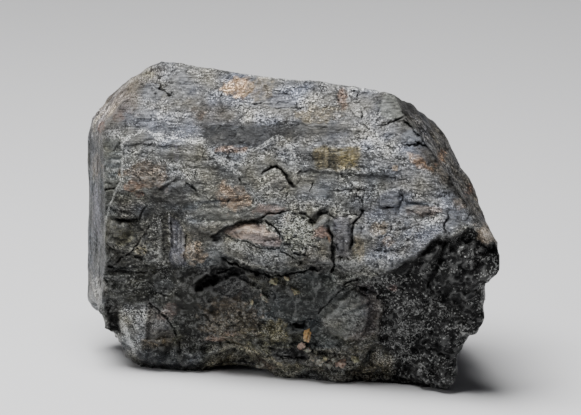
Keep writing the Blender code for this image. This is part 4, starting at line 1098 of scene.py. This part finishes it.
# Its flakes, grains and streaks make every part of it lighter and darker; its brightest specks stand partly
# for pale grains and partly for painted glints.
tone = {"Value": tones[0], "From Min": 0.2, "From Max": 0.8, "To Min": 0.86, "To Max": 1.14}
tone = node(tree, "ShaderNodeMapRange", tone)[0]
for value, low, high, least, most in (
    (tones[1], 0.2, 0.8, 0.85, 1.15),
    (medium, 0.3, 0.7, 0.85, 1.15),
    (fine, 0.3, 0.7, 0.75, 1.25),
    (broad, 0.4, 0.6, 0.82, 1.2),
    (speck, 0.53, 0.62, 0.8, 2.3),
    (speck, 0.34, 0.46, 0.3, 1.0),
    (grit, 0.3, 0.42, 0.4, 1.0),
    (grit, 0.58, 0.68, 1.0, 2.0),
):
    step = {"Value": value, "From Min": low, "From Max": high, "To Min": least, "To Max": most}
    step = node(tree, "ShaderNodeMapRange", step)[0]
    tone = node(tree, "ShaderNodeMath", {0: tone, 1: step}, operation="MULTIPLY")[0]
sharper = node(tree, "ShaderNodeMapRange", {"Value": is_crumbly, "To Min": 1.25, "To Max": 2.0})[0]
tone = node(tree, "ShaderNodeMath", {0: tone, 1: sharper}, operation="POWER")[0]
tone = node(tree, "ShaderNodeMath", {0: tone, 1: 6.0}, operation="MINIMUM")[0]
dimmer = node(tree, "ShaderNodeMapRange", {"Value": is_crumbly, "To Min": 1.08, "To Max": 0.6})[0]
tone = node(tree, "ShaderNodeMath", {0: tone, 1: dimmer}, operation="MULTIPLY")[0]
patchy = {"Value": tones[0], "From Min": 0.35, "From Max": 0.6, "To Min": 0.35, "To Max": 1.0}
patchy = node(tree, "ShaderNodeMapRange", patchy)[0]
bare = {"Value": broad, "From Min": 0.44, "From Max": 0.56, "To Min": 0.45, "To Max": 1.0}
bare = node(tree, "ShaderNodeMapRange", bare)[0]
patchy = node(tree, "ShaderNodeMath", {0: patchy, 1: bare}, operation="MULTIPLY")[0]
patchy = node(tree, "ShaderNodeMath", {0: patchy, 1: is_crumbly}, operation="MAXIMUM")[0]
on_rib = node(tree, "ShaderNodeMath", {0: is_ribbed, 1: 0.6}, operation="MULTIPLY")[0]
patchy = node(tree, "ShaderNodeMath", {0: patchy, 1: on_rib}, operation="MAXIMUM")[0]
patchy = node(tree, "ShaderNodeMath", {0: patchy, 1: grained}, operation="MULTIPLY")[0]
tone = node(tree, "ShaderNodeMix", {0: patchy, 2: 0.9, 3: tone})[0]
lines = {"Value": streak, "From Min": 0.4, "From Max": 0.6, "To Min": 0.62, "To Max": 1.38}
lines = node(tree, "ShaderNodeMapRange", lines)[0]
tone = node(tree, "ShaderNodeMath", {0: tone, 1: lines}, operation="MULTIPLY")[0]
dark_rib = {"Value": ridge, "From Min": 0.35, "From Max": 0.65, "To Min": 0.62, "To Max": 1.45}
dark_rib = node(tree, "ShaderNodeMapRange", dark_rib)[0]
dark_rib = node(tree, "ShaderNodeMix", {0: is_ribbed, 2: 1.0, 3: dark_rib})[0]
tone = node(tree, "ShaderNodeMath", {0: tone, 1: dark_rib}, operation="MULTIPLY")[0]
own = node(tree, "ShaderNodeMix", {0: 1.0, 6: own, 7: tone}, data_type="RGBA", blend_type="MULTIPLY")[2]

# Pale specks are strewn over it, thick along the bands, partly pale grains and partly painted glints; on the
# break, where it sparkles, bright cells are painted glints.
bar = node(tree, "ShaderNodeMapRange", {"Value": in_band, "To Min": 0.70, "To Max": 0.47})[0]
sparkle = {"Value": broad, "From Min": 0.45, "From Max": 0.65, "To Min": 0.0, "To Max": 0.05}
sparkle = node(tree, "ShaderNodeMapRange", sparkle)[0]
sparkle = node(tree, "ShaderNodeMath", {0: sparkle, 1: is_hackly}, operation="MULTIPLY")[0]
bar = node(tree, "ShaderNodeMath", {0: bar, 1: sparkle}, operation="SUBTRACT")[0]
over = node(tree, "ShaderNodeMath", {0: speck, 1: bar}, operation="SUBTRACT")[0]
over = node(tree, "ShaderNodeMapRange", {"Value": over, "From Max": 0.04})[0]
# Painted glints: bright cells on the break, in clusters, painted into its colour.
glint = node(tree, "ShaderNodeTexVoronoi", {"Vector": spot, "Scale": per(0.24)})["Color"]
clustered = {"Value": broad, "From Min": 0.39, "From Max": 0.6, "To Min": -0.13, "To Max": 0.13}
clustered = node(tree, "ShaderNodeMapRange", clustered)[0]
glint = node(tree, "ShaderNodeMath", {0: glint, 1: clustered}, operation="ADD")[0]
glint = node(tree, "ShaderNodeMapRange", {"Value": glint, "From Min": 0.74, "From Max": 0.78})[0]
glint = node(tree, "ShaderNodeMath", {0: glint, 1: is_hackly}, operation="MULTIPLY")[0]
over = node(tree, "ShaderNodeMath", {0: over, 1: glint}, operation="MAXIMUM")[0]
over = node(tree, "ShaderNodeMath", {0: over, 1: grained}, operation="MULTIPLY")[0]
own = node(tree, "ShaderNodeMix", {0: over, 6: own, 7: pale_own}, data_type="RGBA")[2]

# Raised edges are painted paler, a painted highlight, and sunk places, cracks and crevices are painted near
# black, a painted shade.
rim = {"Value": stands_out, "From Min": 0.62, "From Max": 1.0, "To Max": 0.2}
rim = node(tree, "ShaderNodeMapRange", rim)[0]
own = node(tree, "ShaderNodeMix", {0: rim, 6: own, 7: EDGE_HIGHLIGHT}, data_type="RGBA")[2]
sunk = {"Value": stands_out, "From Min": 0.4, "From Max": 0.0, "To Max": 0.45}
sunk = node(tree, "ShaderNodeMapRange", sunk)[0]
# Painted shade: sunk places, hair cracks and crevices go near black.
for dark in (sunk, seam, in_crevice):
    own = node(tree, "ShaderNodeMix", {0: dark, 6: own, 7: CREVICE_SHADE}, data_type="RGBA")[2]

tree.links.new(own, shader.inputs["Base Color"])
metal = node(tree, "ShaderNodeMapRange", {"Value": is_ribbed, "To Min": 0.3, "To Max": 0.1})[0]
tree.links.new(metal, shader.inputs["Metallic"])
dull = node(tree, "ShaderNodeMapRange", {"Value": is_ribbed, "To Min": 0.3, "To Max": 0.08})[0]
tree.links.new(dull, shader.inputs["Specular IOR Level"])
gloss = {"Value": fine, "From Min": 0.3, "From Max": 0.7, "To Min": 0.24, "To Max": 0.55}
gloss = node(tree, "ShaderNodeMapRange", gloss)[0]
gloss = node(tree, "ShaderNodeMix", {0: grained, 2: 0.62, 3: gloss})[0]
tree.links.new(gloss, shader.inputs["Roughness"])
height = node(tree, "ShaderNodeMath", {0: seam, 1: -0.12 * MM, 2: height}, operation="MULTIPLY_ADD")[0]
normal = node(tree, "ShaderNodeBump", {"Strength": 1.0, "Distance": 1.0, "Height": height})["Normal"]
tree.links.new(normal, shader.inputs["Normal"])
crystal.data.materials.append(ferberite)

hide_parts("ferberite_crystal")
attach(crystal, "root")


# ---- Grains grown into the surface ------------------------------------------------------------
# Small crystals and grains of other minerals sit in the crevices: one amber wedge of siderite, and
# waxy lumps of clay and quartz. Each is a faceted ball or wedge pressed into the crystal's surface.

GRAINS = {  # finish, centre on the front plane, half size, turn, how far it stands out
    "amber wedge": ("amber", (2.6, 4.3), (0.69, 1.3), -8, 0.6),
    "pink lump": ("pink", (8.5, -0.5), (1.1, 0.8), 8, 0.6),
    "pink grain": ("pink", (1.6, 2.5), (0.7, 0.6), -20, 0.5),
    "yellow crystal": ("yellow", (-3.1, 13.7), (0.8, 0.6), 25, 0.2),
    "pale lump": ("yellow", (0.7, 12), (0.9, 0.5), -40, 0.2),
    "pale rod": ("grey", (-4.8, 10.9), (1.13, 0.43), -38, 0.2),
    "foot lump": ("grey", (-5.2, -1.1), (1.04, 0.78), 5, 0.3),
    "chain 1": ("grey", (3.6, 0.2), (0.6, 0.5), -20, 0.3),
    "chain 2": ("grey", (4.9, -0.3), (0.8, 0.6), 10, 0.45),
    "chain 3": ("grey", (6.4, -0.8), (0.7, 0.6), -15, 0.4),
    "chain 4": ("yellow", (5.7, 0.2), (0.5, 0.4), 25, 0.3),
    "chain 5": ("grey", (7.3, 0.1), (0.5, 0.4), 0, 0.3),
    "yellow end": ("yellow", (11.1, 0.2), (0.9, 0.6), -18, 0.4),
    "pale grain": ("grey", (2.8, 1.8), (0.6, 0.5), 15, 0.3),
    "yellow crystal 2": ("yellow", (-0.9, 14.3), (0.5, 0.4), -10, 0.1),
    "yellow point": ("yellow", (-6.9, 9.9), (0.3, 0.5), 0, 0.1),
}

FACET_TURNS = range(0, 360, 60)  # each grain is cut by facets that face these ways
FACET_RISES = (-50, -8, 32, 70)

scene_view = bpy.context.evaluated_depsgraph_get()
scene_view.update()


def on_crystal(across, up):
    """The point of the crystal's surface that lies at this place of the front plane, in millimetres."""
    start = np.array((across, up * math.sin(VIEW_RISE), up * math.cos(VIEW_RISE))) - np.array(ORIGIN)
    start = Vector(start) * MM + towards_camera * 0.2  # from well in front of it
    return crystal.ray_cast(start, -towards_camera)[1]


def grain_material(name, code, roughness, through):
    """A mottled waxy or glassy finish, which light enters by the share given as through."""
    material = bpy.data.materials.new(name)
    material.use_nodes = True
    tree = material.node_tree
    shader = tree.nodes["Principled BSDF"]
    spot = node(tree, "ShaderNodeTexCoord")["Object"]
    mottle = node(tree, "ShaderNodeTexNoise", {"Vector": spot, "Scale": per(0.5), "Detail": 3.0})["Fac"]
    share = node(tree, "ShaderNodeMapRange", {"Value": mottle, "From Min": 0.35, "From Max": 0.65})[0]
    deep = tuple(0.3 * value for value in linear(code)[:3]) + (1.0,)
    colour = node(tree, "ShaderNodeMix", {0: share, 6: deep, 7: linear(code)}, data_type="RGBA")[2]
    tree.links.new(colour, shader.inputs["Base Color"])
    shader.inputs["Roughness"].default_value = roughness
    shader.inputs["Subsurface Weight"].default_value = through
    shader.inputs["Subsurface Scale"].default_value = 0.5 * MM
    bump = node(tree, "ShaderNodeBump", {"Strength": 0.6, "Distance": 0.06 * MM, "Height": mottle})
    tree.links.new(bump["Normal"], shader.inputs["Normal"])
    return material


# Siderite breaks glassy and lets some light in. Clay and very fine quartz look waxy, with a soft
# shine, and all of them are mottled at half a millimetre.
finishes = {
    "amber": grain_material("siderite_amber_glassy", "#a5875a", 0.25, 0.2),
    "pink": grain_material("clay_pink_waxy", "#a08a7c", 0.5, 0.1),
    "yellow": grain_material("clay_yellow_waxy", "#8f8b70", 0.5, 0.1),
    "grey": grain_material("quartz_grey_waxy", "#838176", 0.4, 0.1),
}
for finish, material in finishes.items():
    made = []
    for kind, centre, half, turn, out in GRAINS.values():
        if kind != finish:
            continue
        place = on_crystal(*centre)
        bpy.ops.object.select_all(action="DESELECT")
        bpy.ops.mesh.primitive_ico_sphere_add(subdivisions=3, radius=1.0)
        grain = bpy.context.object
        corners = read(grain.data.vertices, "co", 3)
        facets = np.array([facing(*angles) for angles in itertools.product(FACET_TURNS, FACET_RISES)])
        cells = np.array([(round(1000 * centre[0]), number) for number in range(len(facets))])
        reach = 0.55 + 0.4 * chance(cells, 3)
        outside = (corners @ facets.T / reach).max(axis=1)
        corners /= outside[:, None]
        corners *= 1.0 + 0.6 * spread(corners, 0.8, centre[0])[:, None]
        corners *= 1.0 + 0.45 * spread(corners, 0.35, centre[1])[:, None]
        corners *= np.array((half[0], 0.5 * (half[0] + half[1]), half[1])) * 1.15
        grain.data.vertices.foreach_set("co", (corners * MM).ravel())
        grain.data.update()
        tipped = Matrix.Rotation(VIEW_RISE, 3, "X") @ Matrix.Rotation(-math.radians(turn), 3, "Y")
        grain.rotation_euler = tipped.to_euler()
        grain.location = place + towards_camera * out * MM
        bpy.ops.object.transform_apply(location=True, rotation=True, scale=True)
        made.append(grain)
    bpy.ops.object.select_all(action="DESELECT")
    for grain in made:
        grain.select_set(True)
    bpy.context.view_layer.objects.active = made[0]
    if len(made) > 1:
        bpy.ops.object.join()
    bpy.context.scene.cursor.location = (0.0, 0.0, 0.0)
    bpy.ops.object.origin_set(type="ORIGIN_CURSOR")
    lump = bpy.context.object
    lump.name = finish + "_grains"
    lump.data.materials.clear()
    lump.data.materials.append(material)
    bpy.ops.object.shade_smooth_by_angle(angle=math.radians(28.0))
    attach(lump, "root")


# ---- The floor and the light ------------------------------------------------------------------
# A plain pale sheet, one large soft box overhead and in front, and a weak one at the left.

bpy.ops.object.select_all(action="DESELECT")
bpy.ops.mesh.primitive_plane_add(size=3.0)
floor = bpy.context.object
floor.name = "floor"
# Smooth uncoated paper, which spreads the light with hardly a shine.
paper = bpy.data.materials.new("pale_paper")
paper.use_nodes = True
sheet = paper.node_tree.nodes["Principled BSDF"]
sheet.inputs["Base Color"].default_value = linear("#dededf")
sheet.inputs["Roughness"].default_value = 0.7
floor.data.materials.append(paper)


def soft_box(name, place, size, power, aim=(0.0, 0.0, 0.025)):
    """A square lamp that faces the specimen's middle."""
    bpy.ops.object.light_add(type="AREA", location=place)
    lamp = bpy.context.object
    lamp.name = name
    lamp.data.size = size
    lamp.data.energy = power
    lamp.rotation_euler = (Vector(aim) - Vector(place)).to_track_quat("-Z", "Y").to_euler()


soft_box("soft_box_above", (-0.1, -0.06, 0.45), 0.3, 5.2)
soft_box("soft_box_left", (-0.5, -0.15, 0.15), 0.2, 0.6)

world = bpy.data.worlds.new("studio")
bpy.context.scene.world = world
world.use_nodes = True
surroundings = world.node_tree.nodes["Background"]
surroundings.inputs["Color"].default_value = linear("#8a8a90")
surroundings.inputs["Strength"].default_value = 0.18
